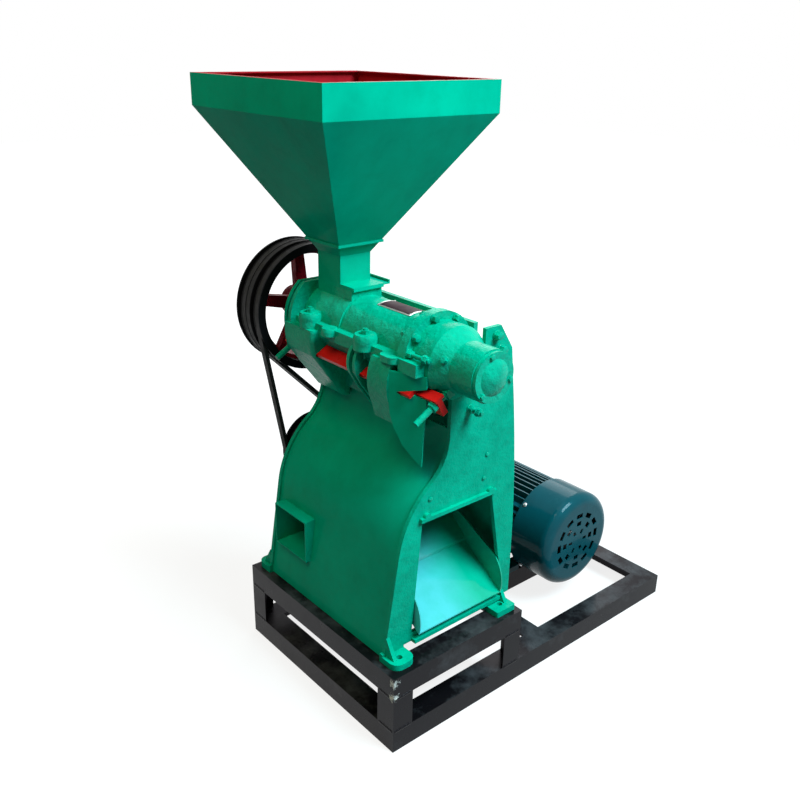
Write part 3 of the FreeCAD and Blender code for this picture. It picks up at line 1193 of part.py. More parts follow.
def make_hopper():
    rim_z = HOPPER_TOP - HOPPER_RIM
    rim = square_tube(HOPPER_WIDTH, HOPPER_DEPTH, rim_z, HOPPER_TOP, HOPPER_SHEET)
    lip = square_tube(HOPPER_WIDTH, HOPPER_DEPTH, HOPPER_TOP - HOPPER_SHEET, HOPPER_TOP, 14)
    fold = square_tube(HOPPER_WIDTH, HOPPER_DEPTH, rim_z, rim_z + HOPPER_SHEET, HOPPER_SHEET * 1.6)
    PIECES["hopper"] = [fused(taper_shell(SEAM_Z, rim_z), [rim, lip, fold])]

    plate_z = INLET_TOP + GATE_WALL + 2 * SLACK
    x0 = SHAFT_X - NECK_WIDTH / 2
    x1 = SHAFT_X + NECK_WIDTH / 2
    y0 = HOPPER_Y - NECK_DEPTH / 2 - NECK_FLANGE
    y1 = HOPPER_Y + NECK_DEPTH / 2
    neck = square_tube(NECK_WIDTH, NECK_DEPTH, plate_z, NECK_TOP, HOPPER_SHEET)
    taper = taper_shell(NECK_TOP, SEAM_Z)
    width, depth = taper_at(SEAM_Z)
    collar = square_tube(width + 5, depth + 5, SEAM_Z - 6, SEAM_Z, 3.2)
    flange = box(x0, x1, y0, y1, plate_z, plate_z + GATE_WALL)
    spacer = box(x0, x1, y0, y1, INLET_TOP, plate_z)
    gate_y0 = y0 + FRONT_SPACER
    gate_y1 = y1 - REAR_SPACER
    spacer = spacer.cut(box(x0 + INLET_WALL, x1 + 1, gate_y0, gate_y1, INLET_TOP - 1, plate_z))
    neck = fused(neck, [taper, collar, flange, spacer])
    passage = square_tube(NECK_WIDTH, NECK_DEPTH, INLET_TOP - 1, plate_z + GATE_WALL + 1, INLET_WALL)
    passage = box(x0, x1, y1 - NECK_DEPTH, y1, INLET_TOP - 1, plate_z + GATE_WALL + 1).cut(passage)
    PIECES["hopper_neck"] = [neck.cut(passage)]
    gate_x0 = x0 + INLET_WALL + SLACK
    gate_x1 = gate_x0 + GATE_LENGTH
    gate_z = INLET_TOP + SLACK
    gate = box(gate_x0, gate_x1, gate_y0 + SLACK, gate_y1 - SLACK, gate_z, gate_z + GATE_WALL)
    grip = box(gate_x1 - GATE_WALL, gate_x1, gate_y0 + SLACK, gate_y1 - SLACK, gate_z, gate_z + GATE_GRIP)
    PIECES["feed_gate"] = [gate.fuse(grip).removeSplitter()]


# Motor

def parallel_fins(y0, y1):
    """straight fins on four sides, all ending on one circle"""
    fins = []
    reach = STATOR_R - 14
    for k in range(FINS):
        offset = (k - (FINS - 1) / 2) * FIN_PITCH
        if abs(offset) > reach:
            continue
        outer = math.sqrt(FIN_R ** 2 - offset ** 2)
        inner = math.sqrt(STATOR_R ** 2 - offset ** 2) - 4
        t = FIN_WALL / 2
        for turn in (0, 90, 180, 270):
            fin = box(MOTOR_X + inner, MOTOR_X + outer, y0, y1,
                      MOTOR_Z + offset - t, MOTOR_Z + offset + t)
            fin.rotate(Vector(MOTOR_X, 0, MOTOR_Z), BACK, turn)
            fins.append(fin)
    return fins


def make_motor_frame():
    y0 = MOTOR_NOSE_Y + COWL_LENGTH - 20
    y1 = MOTOR_END_Y - SHIELD_LENGTH
    frame = rod_y(MOTOR_X, MOTOR_Z, STATOR_R, y0, y1)
    feet = []
    rows = motor_foot_rows()
    for side in (-1, 1):
        middle = MOTOR_X + side * MOTOR_FOOT_A / 2
        foot = box(middle - MOTOR_FOOT_WIDTH / 2, middle + MOTOR_FOOT_WIDTH / 2,
                   rows[0] - 28, rows[1] + 28, ANGLE, ANGLE + MOTOR_FOOT_WALL)
        webs = [foot_web(side, y - 6, y + 6) for y in (rows[0] + 24, rows[1] - 24)]
        feet.append(fused(foot, webs))
    fins = [f for f in parallel_fins(y0 + 26, y1) if f.CenterOfMass.z > MOTOR_Z - STATOR_R * 0.72]
    barrel = frame
    frame = fused(frame, fins)
    box_x = MOTOR_X - TERMINAL_REACH
    pad = box(box_x + 46, MOTOR_X - STATOR_R + 12, terminal_y()[0] + 8, terminal_y()[1] - 8,
              MOTOR_Z + 4, MOTOR_Z + 88)
    frame = frame.fuse(pad)
    frame = frame.cut(rod_y(MOTOR_X, MOTOR_Z, STATOR_R - 12, y0 - 1, y1 + 1))
    PIECES["motor_frame"] = [frame.removeSplitter()]
    cast = []
    for foot in feet:
        foot = foot.cut(barrel)
        for x in motor_foot_columns():
            for y in rows:
                foot = foot.cut(rod_z(x, y, MOTOR_HOLE_R, ANGLE - 1, ANGLE + MOTOR_FOOT_WALL + 1))
        cast.append(foot)
    PIECES["motor_feet"] = cast


def foot_web(side, y0, y1):
    inner = MOTOR_X + side * STATOR_R * 0.6
    outer = MOTOR_X + side * (MOTOR_FOOT_A / 2 + 12)
    wall = MOTOR_X + side * STATOR_R * 0.92
    top = MOTOR_Z - STATOR_R * 0.62
    corners = [(inner, ANGLE), (outer, ANGLE), (wall, top), (inner, top)]
    return prism_y(corners, y0, y1)


def terminal_y():
    rear = MOTOR_END_Y - SHIELD_LENGTH - 20
    return (rear - TERMINAL_SIZE, rear)


def make_motor_shields():
    y1 = MOTOR_END_Y
    y0 = y1 - SHIELD_LENGTH
    hole = MOTOR_SHAFT_R + 2
    shield = turned_y(MOTOR_X, MOTOR_Z, [
        (hole, y0), (STATOR_R + 12, y0), (STATOR_R + 12, y0 + 12), (STATOR_R - 10, y0 + 22),
        (MOTOR_BEARING_R + 22, y0 + 24), (MOTOR_BEARING_R + 16, y1), (hole, y1),
    ])
    bearing_y = y1 - 8 - MOTOR_BEARING_WIDTH
    pocket = rod_y(MOTOR_X, MOTOR_Z, MOTOR_BEARING_R, y0 - 1, bearing_y + MOTOR_BEARING_WIDTH)
    PIECES["drive_end_shield"] = [shield.cut(pocket)]
    back_y = MOTOR_NOSE_Y + COWL_LENGTH - 20
    rear_y = back_y - 26
    rear = turned_y(MOTOR_X, MOTOR_Z, [
        (hole, rear_y), (MOTOR_BEARING_R + 14, rear_y), (STATOR_R - 20, back_y - 12),
        (STATOR_R, back_y - 12), (STATOR_R, back_y), (hole, back_y),
    ])
    rear_bearing = rear_y + 3
    pocket = rod_y(MOTOR_X, MOTOR_Z, MOTOR_BEARING_R, rear_bearing, back_y + 1)
    PIECES["cowl_end_shield"] = [rear.cut(pocket)]
    PIECES["motor_bearings"] = [
        ring_y(MOTOR_X, MOTOR_Z, MOTOR_BEARING_R, MOTOR_SHAFT_R + RUNNING, y, y + MOTOR_BEARING_WIDTH)
        for y in (rear_bearing, bearing_y)
    ]


def make_cowl():
    y0 = MOTOR_NOSE_Y
    y1 = y0 + COWL_LENGTH
    rings = []
    for shrink in (0.0, COWL_SHEET):
        r = COWL_R - shrink
        corner = COWL_ROUND - shrink
        turn = r - corner
        face_y = y0 + shrink
        half = math.sqrt(0.5)
        bent = Part.Arc(
            Vector(MOTOR_X + turn, face_y, MOTOR_Z),
            Vector(MOTOR_X + turn + corner * half, face_y + corner * (1 - half), MOTOR_Z),
            Vector(MOTOR_X + r, face_y + corner, MOTOR_Z),
        ).toShape()
        end = y1 + shrink
        axis_face = Vector(MOTOR_X, face_y, MOTOR_Z)
        axis_end = Vector(MOTOR_X, end, MOTOR_Z)
        rim_end = Vector(MOTOR_X + r, end, MOTOR_Z)
        edges = [
            line(axis_face, Vector(MOTOR_X + turn, face_y, MOTOR_Z)), bent,
            line(Vector(MOTOR_X + r, face_y + corner, MOTOR_Z), rim_end),
            line(rim_end, axis_end), line(axis_end, axis_face),
        ]
        section = Part.Face(Part.Wire(edges))
        rings.append(section.revolve(Vector(MOTOR_X, 0, MOTOR_Z), BACK, 360))
    cowl = rings[0].cut(rings[1])
    cowl = cowl.cut(rod_y(MOTOR_X, MOTOR_Z, GRILLE_R, y0 - 1, y0 + 4))
    stays = []
    back_y = MOTOR_NOSE_Y + COWL_LENGTH - 20
    for turn in (45, 135, 225, 315):
        stay = box(MOTOR_X + STATOR_R, MOTOR_X + COWL_R - COWL_SHEET + 0.5, back_y + 2, back_y + 16,
                   MOTOR_Z - 8, MOTOR_Z + 8)
        stay.rotate(Vector(MOTOR_X, 0, MOTOR_Z), BACK, turn)
        stays.append(stay)
    PIECES["fan_cowl"] = [fused(cowl, stays)]

    grille = rod_y(MOTOR_X, MOTOR_Z, GRILLE_R, y0, y0 + COWL_SHEET)
    slots = []
    for r, count in ((30, 6), (54, 8), (78, 12)):
        for k in range(count):
            slot = box(MOTOR_X + r - 7, MOTOR_X + r + 7, y0 - 1, y0 + COWL_SHEET + 1,
                       MOTOR_Z - r * 0.16, MOTOR_Z + r * 0.16)
            slot.rotate(Vector(MOTOR_X, 0, MOTOR_Z), BACK, k * 360.0 / count)
            slots.append(slot)
    PIECES["cowl_grille"] = [grille.cut(Part.makeCompound(slots))]


def make_motor_inside():
    y0 = MOTOR_NOSE_Y + COWL_LENGTH - 20
    y1 = MOTOR_END_Y - SHIELD_LENGTH
    bore = 68.0
    PIECES["stator_core"] = [ring_y(MOTOR_X, MOTOR_Z, STATOR_R - 12, bore, y0 + 55, y1 - 50)]
    PIECES["rotor_core"] = [ring_y(MOTOR_X, MOTOR_Z, bore - 1, MOTOR_SHAFT_R + 5, y0 + 55, y1 - 50)]
    fan_y = MOTOR_NOSE_Y + 26
    end = MOTOR_END_Y + MOTOR_SHAFT_REACH
    shaft = rod_y(MOTOR_X, MOTOR_Z, MOTOR_SHAFT_R, fan_y, end)
    shaft = shaft.fuse(rod_y(MOTOR_X, MOTOR_Z, MOTOR_SHAFT_R + 5, y0 + 14, y1 - 12))
    PIECES["motor_shaft"] = [shaft.removeSplitter()]
    fan_end = fan_y + MOTOR_FAN_DEPTH
    hub = ring_y(MOTOR_X, MOTOR_Z, MOTOR_FAN_HUB_R, MOTOR_SHAFT_R, fan_y + 2, fan_end + 2)
    disc = ring_y(MOTOR_X, MOTOR_Z, MOTOR_FAN_DISC_R, MOTOR_SHAFT_R, fan_end - 4, fan_end)
    blades = []
    for k in range(MOTOR_FAN_BLADES):
        blade = box(MOTOR_X + MOTOR_FAN_HUB_R - 3, MOTOR_X + MOTOR_FAN_R, fan_y + 4, fan_end,
                    MOTOR_Z - 1.5, MOTOR_Z + 1.5)
        blade.rotate(Vector(MOTOR_X, 0, MOTOR_Z), BACK, k * 360.0 / MOTOR_FAN_BLADES)
        blades.append(blade)
    PIECES["motor_fan"] = [fused(hub, [disc] + blades)]
    PIECES["motor_pulley"] = [grooved_wheel(MOTOR_X, MOTOR_Z, MOTOR_PULLEY_R, groove_y(DRIVE_GROOVE_NUMBERS[0]),
                                            len(DRIVE_GROOVE_NUMBERS), MOTOR_SHAFT_R, 18)]


def make_terminal_box():
    y0, y1 = terminal_y()
    x0 = MOTOR_X - TERMINAL_REACH
    z0 = MOTOR_Z - 4
    z1 = z0 + TERMINAL_SIZE - 12
    body = box(x0 + 6, x0 + 46, y0, y1, z0, z1)
    body = body.makeFillet(8, [e for e in body.Edges if is_along_x(e)])
    lid = box(x0, x0 + 6, y0 - 2, y1 + 2, z0 - 2, z1 + 2)
    lid = lid.makeFillet(8, [e for e in lid.Edges if is_along_x(e)])
    PIECES["terminal_box"] = [body.fuse(lid).removeSplitter()]
    gland_x = x0 + 26
    gland_y = y0 + GLAND_FROM_FRONT
    gland = rod_z(gland_x, gland_y, GLAND_R, z0 - 24, z0)
    nut = hexagon(Vector(gland_x, gland_y, z0 - 10), UP, 2 * GLAND_R + 5, 8)
    gland = gland.fuse(nut).cut(rod_z(gland_x, gland_y, GLAND_BORE_R, z0 - 25, z0 + 1))
    PIECES["cable_gland"] = [gland]


def is_along_x(edge):
    first, last = edge.Vertexes[0].Point, edge.Vertexes[-1].Point
    return abs(first.x - last.x) > 1


def make_motor_bolts():
    bolts = []
    for x in motor_foot_columns():
        for y in motor_foot_rows():
            top = ANGLE + MOTOR_FOOT_WALL
            bolt = rod_z(x, y, MOTOR_HOLE_R - SLACK, ANGLE - ANGLE_WALL - 14, top + 9)
            head = hexagon(Vector(x, y, top), UP, 18, 8)
            under = hexagon(Vector(x, y, ANGLE - ANGLE_WALL - 10), UP, 18, 10)
            bolts.append(bolt.fuse(head).fuse(under).removeSplitter())
    PIECES["motor_bolts"] = bolts


def main():
    make_base()
    make_stand()
    make_end_plates()
    make_skins()
    make_bran_chute()
    make_blower()
    make_main_pulley()
    make_belts()
    make_upper_cover()
    make_lower_casing()
    make_screen()
    make_discharge()
    make_knife()
    make_studs()
    make_shaft_line()
    make_bearings()
    make_hopper()
    make_motor_frame()
    make_motor_shields()
    make_cowl()
    make_motor_inside()
    make_terminal_box()
    make_motor_bolts()
    write_pieces()


def write_pieces():
    """moves the origin to the middle of the underside and writes one file per piece"""
    left = SHAFT_X - HOPPER_WIDTH / 2
    right = BASE_LENGTH
    front = FRONT_HOUSING_Y - CAP_WALL - DOME_HEIGHT
    rear = HOPPER_Y + HOPPER_DEPTH / 2
    shift = Vector(-(left + right) / 2, -(front + rear) / 2, 0)
    os.makedirs("parts", exist_ok=True)
    for name, solids in PIECES.items():
        shape = solids[0] if len(solids) == 1 else Part.makeCompound(solids)
        shape.translate(shift)
        shape.exportStep("parts/" + name + ".step")


main()
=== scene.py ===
import json
import math

import bmesh
import bpy
from bpy.props import FloatProperty, FloatVectorProperty, PointerProperty
from mathutils import Matrix, Vector


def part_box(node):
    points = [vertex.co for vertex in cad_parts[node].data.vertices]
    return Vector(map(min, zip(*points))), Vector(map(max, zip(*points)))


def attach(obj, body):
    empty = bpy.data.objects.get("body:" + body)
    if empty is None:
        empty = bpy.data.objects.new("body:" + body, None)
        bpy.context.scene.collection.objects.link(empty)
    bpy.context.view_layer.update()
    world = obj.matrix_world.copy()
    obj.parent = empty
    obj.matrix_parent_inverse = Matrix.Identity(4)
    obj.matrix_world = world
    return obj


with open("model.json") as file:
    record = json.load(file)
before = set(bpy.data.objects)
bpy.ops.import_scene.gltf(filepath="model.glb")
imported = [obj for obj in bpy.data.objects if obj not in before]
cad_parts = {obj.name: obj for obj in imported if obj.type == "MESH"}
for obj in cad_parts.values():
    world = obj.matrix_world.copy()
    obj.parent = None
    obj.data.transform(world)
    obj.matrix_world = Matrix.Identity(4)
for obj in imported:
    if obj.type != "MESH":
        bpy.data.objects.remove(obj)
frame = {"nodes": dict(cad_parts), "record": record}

bl_info = {
    "name": "Grain sheller finish",
    "version": (1, 0, 0),
    "blender": (4, 5, 0),
    "location": "View3D > Sidebar > Sheller",
    "description": "Paints the grain sheller and adds its screws, plate, welds and stage",
    "category": "Object",
}


# Where things are

def middle(node):
    """centre of a node's box"""
    low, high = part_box(node)
    return (low + high) / 2


def low_of(node):
    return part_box(node)[0]


def high_of(node):
    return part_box(node)[1]


SHAFT = middle("main_pulley_rim")
MOTOR = middle("fan_cowl")
HOPPER = middle("hopper")


# Settings that a user would change

class ShellerSizes(bpy.types.PropertyGroup):
    cap_screw: FloatProperty(
        name="Cap screw", description="Width across the flats of the bearing caps' screws",
        default=0.013, min=0.008, max=0.02, unit="LENGTH")
    frame_bolt: FloatProperty(
        name="Head bolt", description="Width across the flats of the mill head's bolts",
        default=0.017, min=0.01, max=0.022, unit="LENGTH")
    stud_nut: FloatProperty(
        name="Stud nut", description="Width across the flats of the knife studs' nuts",
        default=0.022, min=0.018, max=0.026, unit="LENGTH")
    plate_length: FloatProperty(
        name="Plate length", description="Length of the bare plate on the cover",
        default=0.11, min=0.05, max=0.112, unit="LENGTH")
    plate_sweep: FloatProperty(
        name="Plate sweep", description="Angle that the bare plate takes up round the cover",
        default=math.radians(38), min=0.2, max=0.8, unit="ROTATION")
    skirt_lap: FloatProperty(
        name="Skirt lap", description="How far the baffle's skirt reaches forward over the chute",
        default=0.09, min=0.02, max=0.12, unit="LENGTH")
    weld_width: FloatProperty(
        name="Weld width", description="Width of the base's weld beads",
        default=0.007, min=0.003, max=0.01, unit="LENGTH")
    weld_pitch: FloatProperty(
        name="Weld pitch", description="Distance between the ripples of a weld bead",
        default=0.0032, min=0.002, max=0.006, unit="LENGTH")


class ShellerColours(bpy.types.PropertyGroup):
    body: FloatVectorProperty(
        name="Body", description="Paint of the castings and skins",
        subtype="COLOR", default=(0.0, 0.4, 0.245), min=0.0, max=1.0)
    hopper_inside: FloatVectorProperty(
        name="Hopper inside", description="Paint inside the hopper",
        subtype="COLOR", default=(0.38, 0.013, 0.02), min=0.0, max=1.0)
    base: FloatVectorProperty(
        name="Base", description="Paint of the angle-iron base",
        subtype="COLOR", default=(0.0045, 0.004, 0.005), min=0.0, max=1.0)
    motor: FloatVectorProperty(
        name="Motor", description="Paint of the motor",
        subtype="COLOR", default=(0.002, 0.07, 0.088), min=0.0, max=1.0)
    knife: FloatVectorProperty(
        name="Knife", description="Paint of the knife and its brackets",
        subtype="COLOR", default=(0.72, 0.012, 0.01), min=0.0, max=1.0)
    spokes: FloatVectorProperty(
        name="Spokes", description="Paint of the main pulley's spokes",
        subtype="COLOR", default=(0.38, 0.0076, 0.019), min=0.0, max=1.0)


# Materials

def new_material(name):
    """material with one Principled shader, and a function that adds nodes to it"""
    material = bpy.data.materials.new(name)
    material.use_nodes = True
    tree = material.node_tree
    shader = tree.nodes["Principled BSDF"]

    def add(kind, inputs=None, **settings):
        node = tree.nodes.new(kind)
        for key, value in settings.items():
            setattr(node, key, value)
        for key, value in (inputs or {}).items():
            if isinstance(value, bpy.types.NodeSocket):
                tree.links.new(value, node.inputs[key])
            else:
                node.inputs[key].default_value = value
        return node

    return material, tree, shader, add


def noise(add, place, scale, detail=3.0, roughness=0.55):
    return add("ShaderNodeTexNoise", {
        "Vector": place, "Scale": scale, "Detail": detail, "Roughness": roughness}).outputs["Fac"]


def ramp(add, value, low, high, out_low=0.0, out_high=1.0):
    """value mapped from low..high to out_low..out_high, held at both ends"""
    return add("ShaderNodeMapRange", {
        "Value": value, "From Min": low, "From Max": high,
        "To Min": out_low, "To Max": out_high}).outputs["Result"]


def blended(add, share, first, second):
    mix = add("ShaderNodeMix", data_type="RGBA")
    links = mix.id_data.links
    links.new(share, mix.inputs[0])
    for index, value in ((6, first), (7, second)):
        if isinstance(value, bpy.types.NodeSocket):
            links.new(value, mix.inputs[index])
        else:
            mix.inputs[index].default_value = (*value[:3], 1.0)
    return mix.outputs[2]


def shade(colour, gain):
    return tuple(min(1.0, c * gain) for c in colour)


def maths(add, operation, first, second):
    return add("ShaderNodeMath", {0: first, 1: second}, operation=operation).outputs[0]


def vectors(add, operation, first, second, result="Vector"):
    node = add("ShaderNodeVectorMath", {0: first, 1: second}, operation=operation)
    return node.outputs[result]


def connect(tree, shader, add, tone, rough, height, strength, distance):
    """gives a finish its colour, roughness and bump"""
    tree.links.new(tone, shader.inputs["Base Color"])
    if isinstance(rough, float):
        shader.inputs["Roughness"].default_value = rough
    else:
        tree.links.new(rough, shader.inputs["Roughness"])
    bump = add("ShaderNodeBump", {"Height": height, "Strength": strength, "Distance": distance})
    tree.links.new(bump.outputs["Normal"], shader.inputs["Normal"])


# Noise scales of the paint's patterns
CLOUD_SCALE = 7.0
SAG_SCALE = 24.0
LUMP_SCALE = 48.0
CHIP_SCALE = 38.0
SCUFF_SCALE = 90.0
DUST_AND_SHEEN_SCALE = 11.0
SMEAR_SCALE = 4.5
GLOSS_SCALE = 14.0

# How much darker sags get, how high a casting's lumps stand against its grain, and the strength
# and depth in metres of the bump
CAST_SAGS = 0.55
SHEET_SAGS = 0.2
LUMP_HEIGHT = 6.0
CAST_BUMP = (0.5, 0.0008)
SHEET_BUMP = (0.12, 0.0002)

# Knocked-off paint reaches from fully gone at the first distance to none at the second
SCUFF_REACH = (0.006, 0.036)
SCUFF_COLOUR = (0.55, 0.54, 0.5)
# Cool grey of the dust, also used as a painted sheen on up-facing faces
DUST_AND_SHEEN_COLOUR = (0.17, 0.18, 0.19)
RUST_COLOUR = (0.16, 0.07, 0.035)


def paint(name, colour, gloss=0.3, cast=0.0, grain=220.0, chips=0.0, dust_and_sheen=0.0,
          primer=(0.12, 0.1, 0.085), coat=0.02, coat_rough=0.15, shine=0.12,
          second=None, scuffs=()):
    """brushed paint: uneven film, orange peel or cast skin, chips to the primer, and dust with a
    painted sheen on top
    """
    material, tree, shader, add = new_material(name)
    place = add("ShaderNodeTexCoord").outputs["Object"]
    cloud = noise(add, place, CLOUD_SCALE, 4.0)
    film = blended(add, ramp(add, cloud, 0.3, 0.7), shade(colour, 0.84), shade(colour, 1.1))
    sags = ramp(add, noise(add, place, SAG_SCALE, 5.0, 0.7), 0.45, 0.68,
                0.0, CAST_SAGS if cast else SHEET_SAGS)
    film = blended(add, sags, film, shade(colour, 0.6))
    if second:
        film = second(add, place, film)
    height = ramp(add, noise(add, place, grain, 2.0), 0.2, 0.8)
    if cast:
        lumps = noise(add, place, LUMP_SCALE, 4.0, 0.62)
        height = maths(add, "ADD", height, ramp(add, lumps, 0.25, 0.75, 0.0, LUMP_HEIGHT * cast))
    if chips:
        spots = noise(add, place, CHIP_SCALE, 5.0, 0.7)
        chipped = ramp(add, spots, 0.735 - chips * 0.1, 0.75 - chips * 0.1)
        film = blended(add, chipped, film, primer)
        height = maths(add, "SUBTRACT", height, chipped)
    for point in scuffs:
        away = vectors(add, "DISTANCE", place, point, "Value")
        near = ramp(add, away, *SCUFF_REACH, 0.23, -0.2)
        patchy = maths(add, "ADD", noise(add, place, SCUFF_SCALE, 5.0, 0.7), near)
        film = blended(add, ramp(add, patchy, 0.66, 0.72), film, SCUFF_COLOUR)
    if dust_and_sheen:
        # dust and a painted sheen: up-facing faces get the cool grey in patches, which stands in
        # for light on their tops; smears anywhere take the same grey as dust
        up = add("ShaderNodeSeparateXYZ", {0: add("ShaderNodeNewGeometry").outputs["Normal"]})
        lying = ramp(add, up.outputs["Z"], 0.4, 0.95)
        patch = ramp(add, noise(add, place, DUST_AND_SHEEN_SCALE, 5.0, 0.65), 0.45, 0.75, 0.0, dust_and_sheen)
        smear = ramp(add, noise(add, place, SMEAR_SCALE, 6.0, 0.7), 0.56, 0.74, 0.0, dust_and_sheen * 0.6)
        share = maths(add, "MAXIMUM", maths(add, "MULTIPLY", lying, patch), smear)
        film = blended(add, share, film, DUST_AND_SHEEN_COLOUR)
    rough = ramp(add, noise(add, place, GLOSS_SCALE, 3.0), 0.3, 0.7, gloss * 0.8, gloss * 1.3)
    connect(tree, shader, add, film, rough, height, *(CAST_BUMP if cast else SHEET_BUMP))
    strongest = max(colour)
    tint = tuple(0.03 + 0.97 * c / strongest for c in colour)
    shader.inputs["Specular IOR Level"].default_value = shine
    shader.inputs["Specular Tint"].default_value = (*tint, 1.0)
    shader.inputs["Coat Weight"].default_value = coat
    shader.inputs["Coat Roughness"].default_value = coat_rough
    return material


def painted_glare(glare_colour):
    """second coat for the chute: painted glare, a lighter bluer colour that stands in for the
    lamps' reflection, most on its left
    """
    low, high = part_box("bran_chute")
    wide = high.x - low.x

    def coat(add, place, film):
        across = add("ShaderNodeSeparateXYZ", {0: place}).outputs["X"]
        side = ramp(add, across, low.x + 0.4 * wide, low.x + 0.78 * wide, 1.0, 0.0)
        patches = ramp(add, noise(add, place, 26.0, 4.0, 0.6), 0.25, 0.6, 0.7, 1.0)
        # the glare colour is painted into the film in patches: a painted reflection, not a property
        # of the sheet
        return blended(add, maths(add, "MULTIPLY", side, patches), film, glare_colour)
    return coat


def inside_red(inside):
    """second coat for the hopper: faces that look towards its middle line"""
    def coat(add, place, film):
        out = vectors(add, "SUBTRACT", place, (HOPPER.x, HOPPER.y, 0.0))
        flat = vectors(add, "MULTIPLY", out, (1.0, 1.0, 0.0))
        facing = add("ShaderNodeNewGeometry").outputs["Normal"]
        towards = vectors(add, "DOT_PRODUCT", flat, facing, "Value")
        share = ramp(add, towards, 0.004, 0.006, 1.0, 0.0)
        worn = ramp(add, noise(add, place, 9.0, 5.0, 0.7), 0.3, 0.75)
        red = blended(add, worn, shade(inside, 0.75), shade(inside, 1.15))
        return blended(add, share, film, red)
    return coat


def bare_steel(name, colour, rough=0.32, stretch=(1.0, 1.0, 1.0), scale=400.0, rust=0.0):
    """machined or rolled steel with marks that run along one way"""
    material, tree, shader, add = new_material(name)
    place = add("ShaderNodeTexCoord").outputs["Object"]
    drawn = add("ShaderNodeMapping", {"Vector": place, "Scale": stretch}).outputs[0]
    marks = noise(add, drawn, scale, 3.0, 0.6)
    tone = blended(add, ramp(add, marks, 0.25, 0.75), shade(colour, 0.8), shade(colour, 1.12))
    if rust:
        spots = ramp(add, noise(add, place, 30.0, 6.0, 0.7), 0.66 - rust * 0.1, 0.74)
        tone = blended(add, spots, tone, RUST_COLOUR)
    connect(tree, shader, add, tone, ramp(add, marks, 0.2, 0.8, rough * 0.8, rough * 1.4),
            marks, 0.08, 0.0002)
    shader.inputs["Metallic"].default_value = 1.0
    return material


def belt_cloth(name):
    """wrapped wedge belt: black rubber with a fine woven cover, worn in patches"""
    material, tree, shader, add = new_material(name)
    place = add("ShaderNodeTexCoord").outputs["Object"]
    weave = add("ShaderNodeTexWave", {"Vector": place, "Scale": 260.0, "Distortion": 1.5,
                                      "Detail": 2.0}, bands_direction="DIAGONAL").outputs["Fac"]
    worn = noise(add, place, 60.0, 3.0)
    dark = blended(add, ramp(add, worn, 0.35, 0.7), (0.007, 0.007, 0.0075), (0.02, 0.0195, 0.019))
    connect(tree, shader, add, dark, ramp(add, worn, 0.3, 0.7, 0.5, 0.8), weave, 0.15, 0.0003)
    shader.inputs["Specular IOR Level"].default_value = 0.15
    return material


def moulded(name, colour):
    """moulded nylon with a fine spark-eroded skin"""
    material, tree, shader, add = new_material(name)
    place = add("ShaderNodeTexCoord").outputs["Object"]
    skin = noise(add, place, 900.0, 2.0)
    tone = blended(add, ramp(add, noise(add, place, 20.0), 0.3, 0.7), shade(colour, 0.8), colour)
    connect(tree, shader, add, tone, 0.5, skin, 0.2, 0.0002)
    return material


def stand_corner(drop):
    """point on the stand's front left edge, this far below its top, where paint is knocked off"""
    low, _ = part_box("stand_posts")
    return Vector((low.x, low.y, low_of("front_end_plate").z - drop))


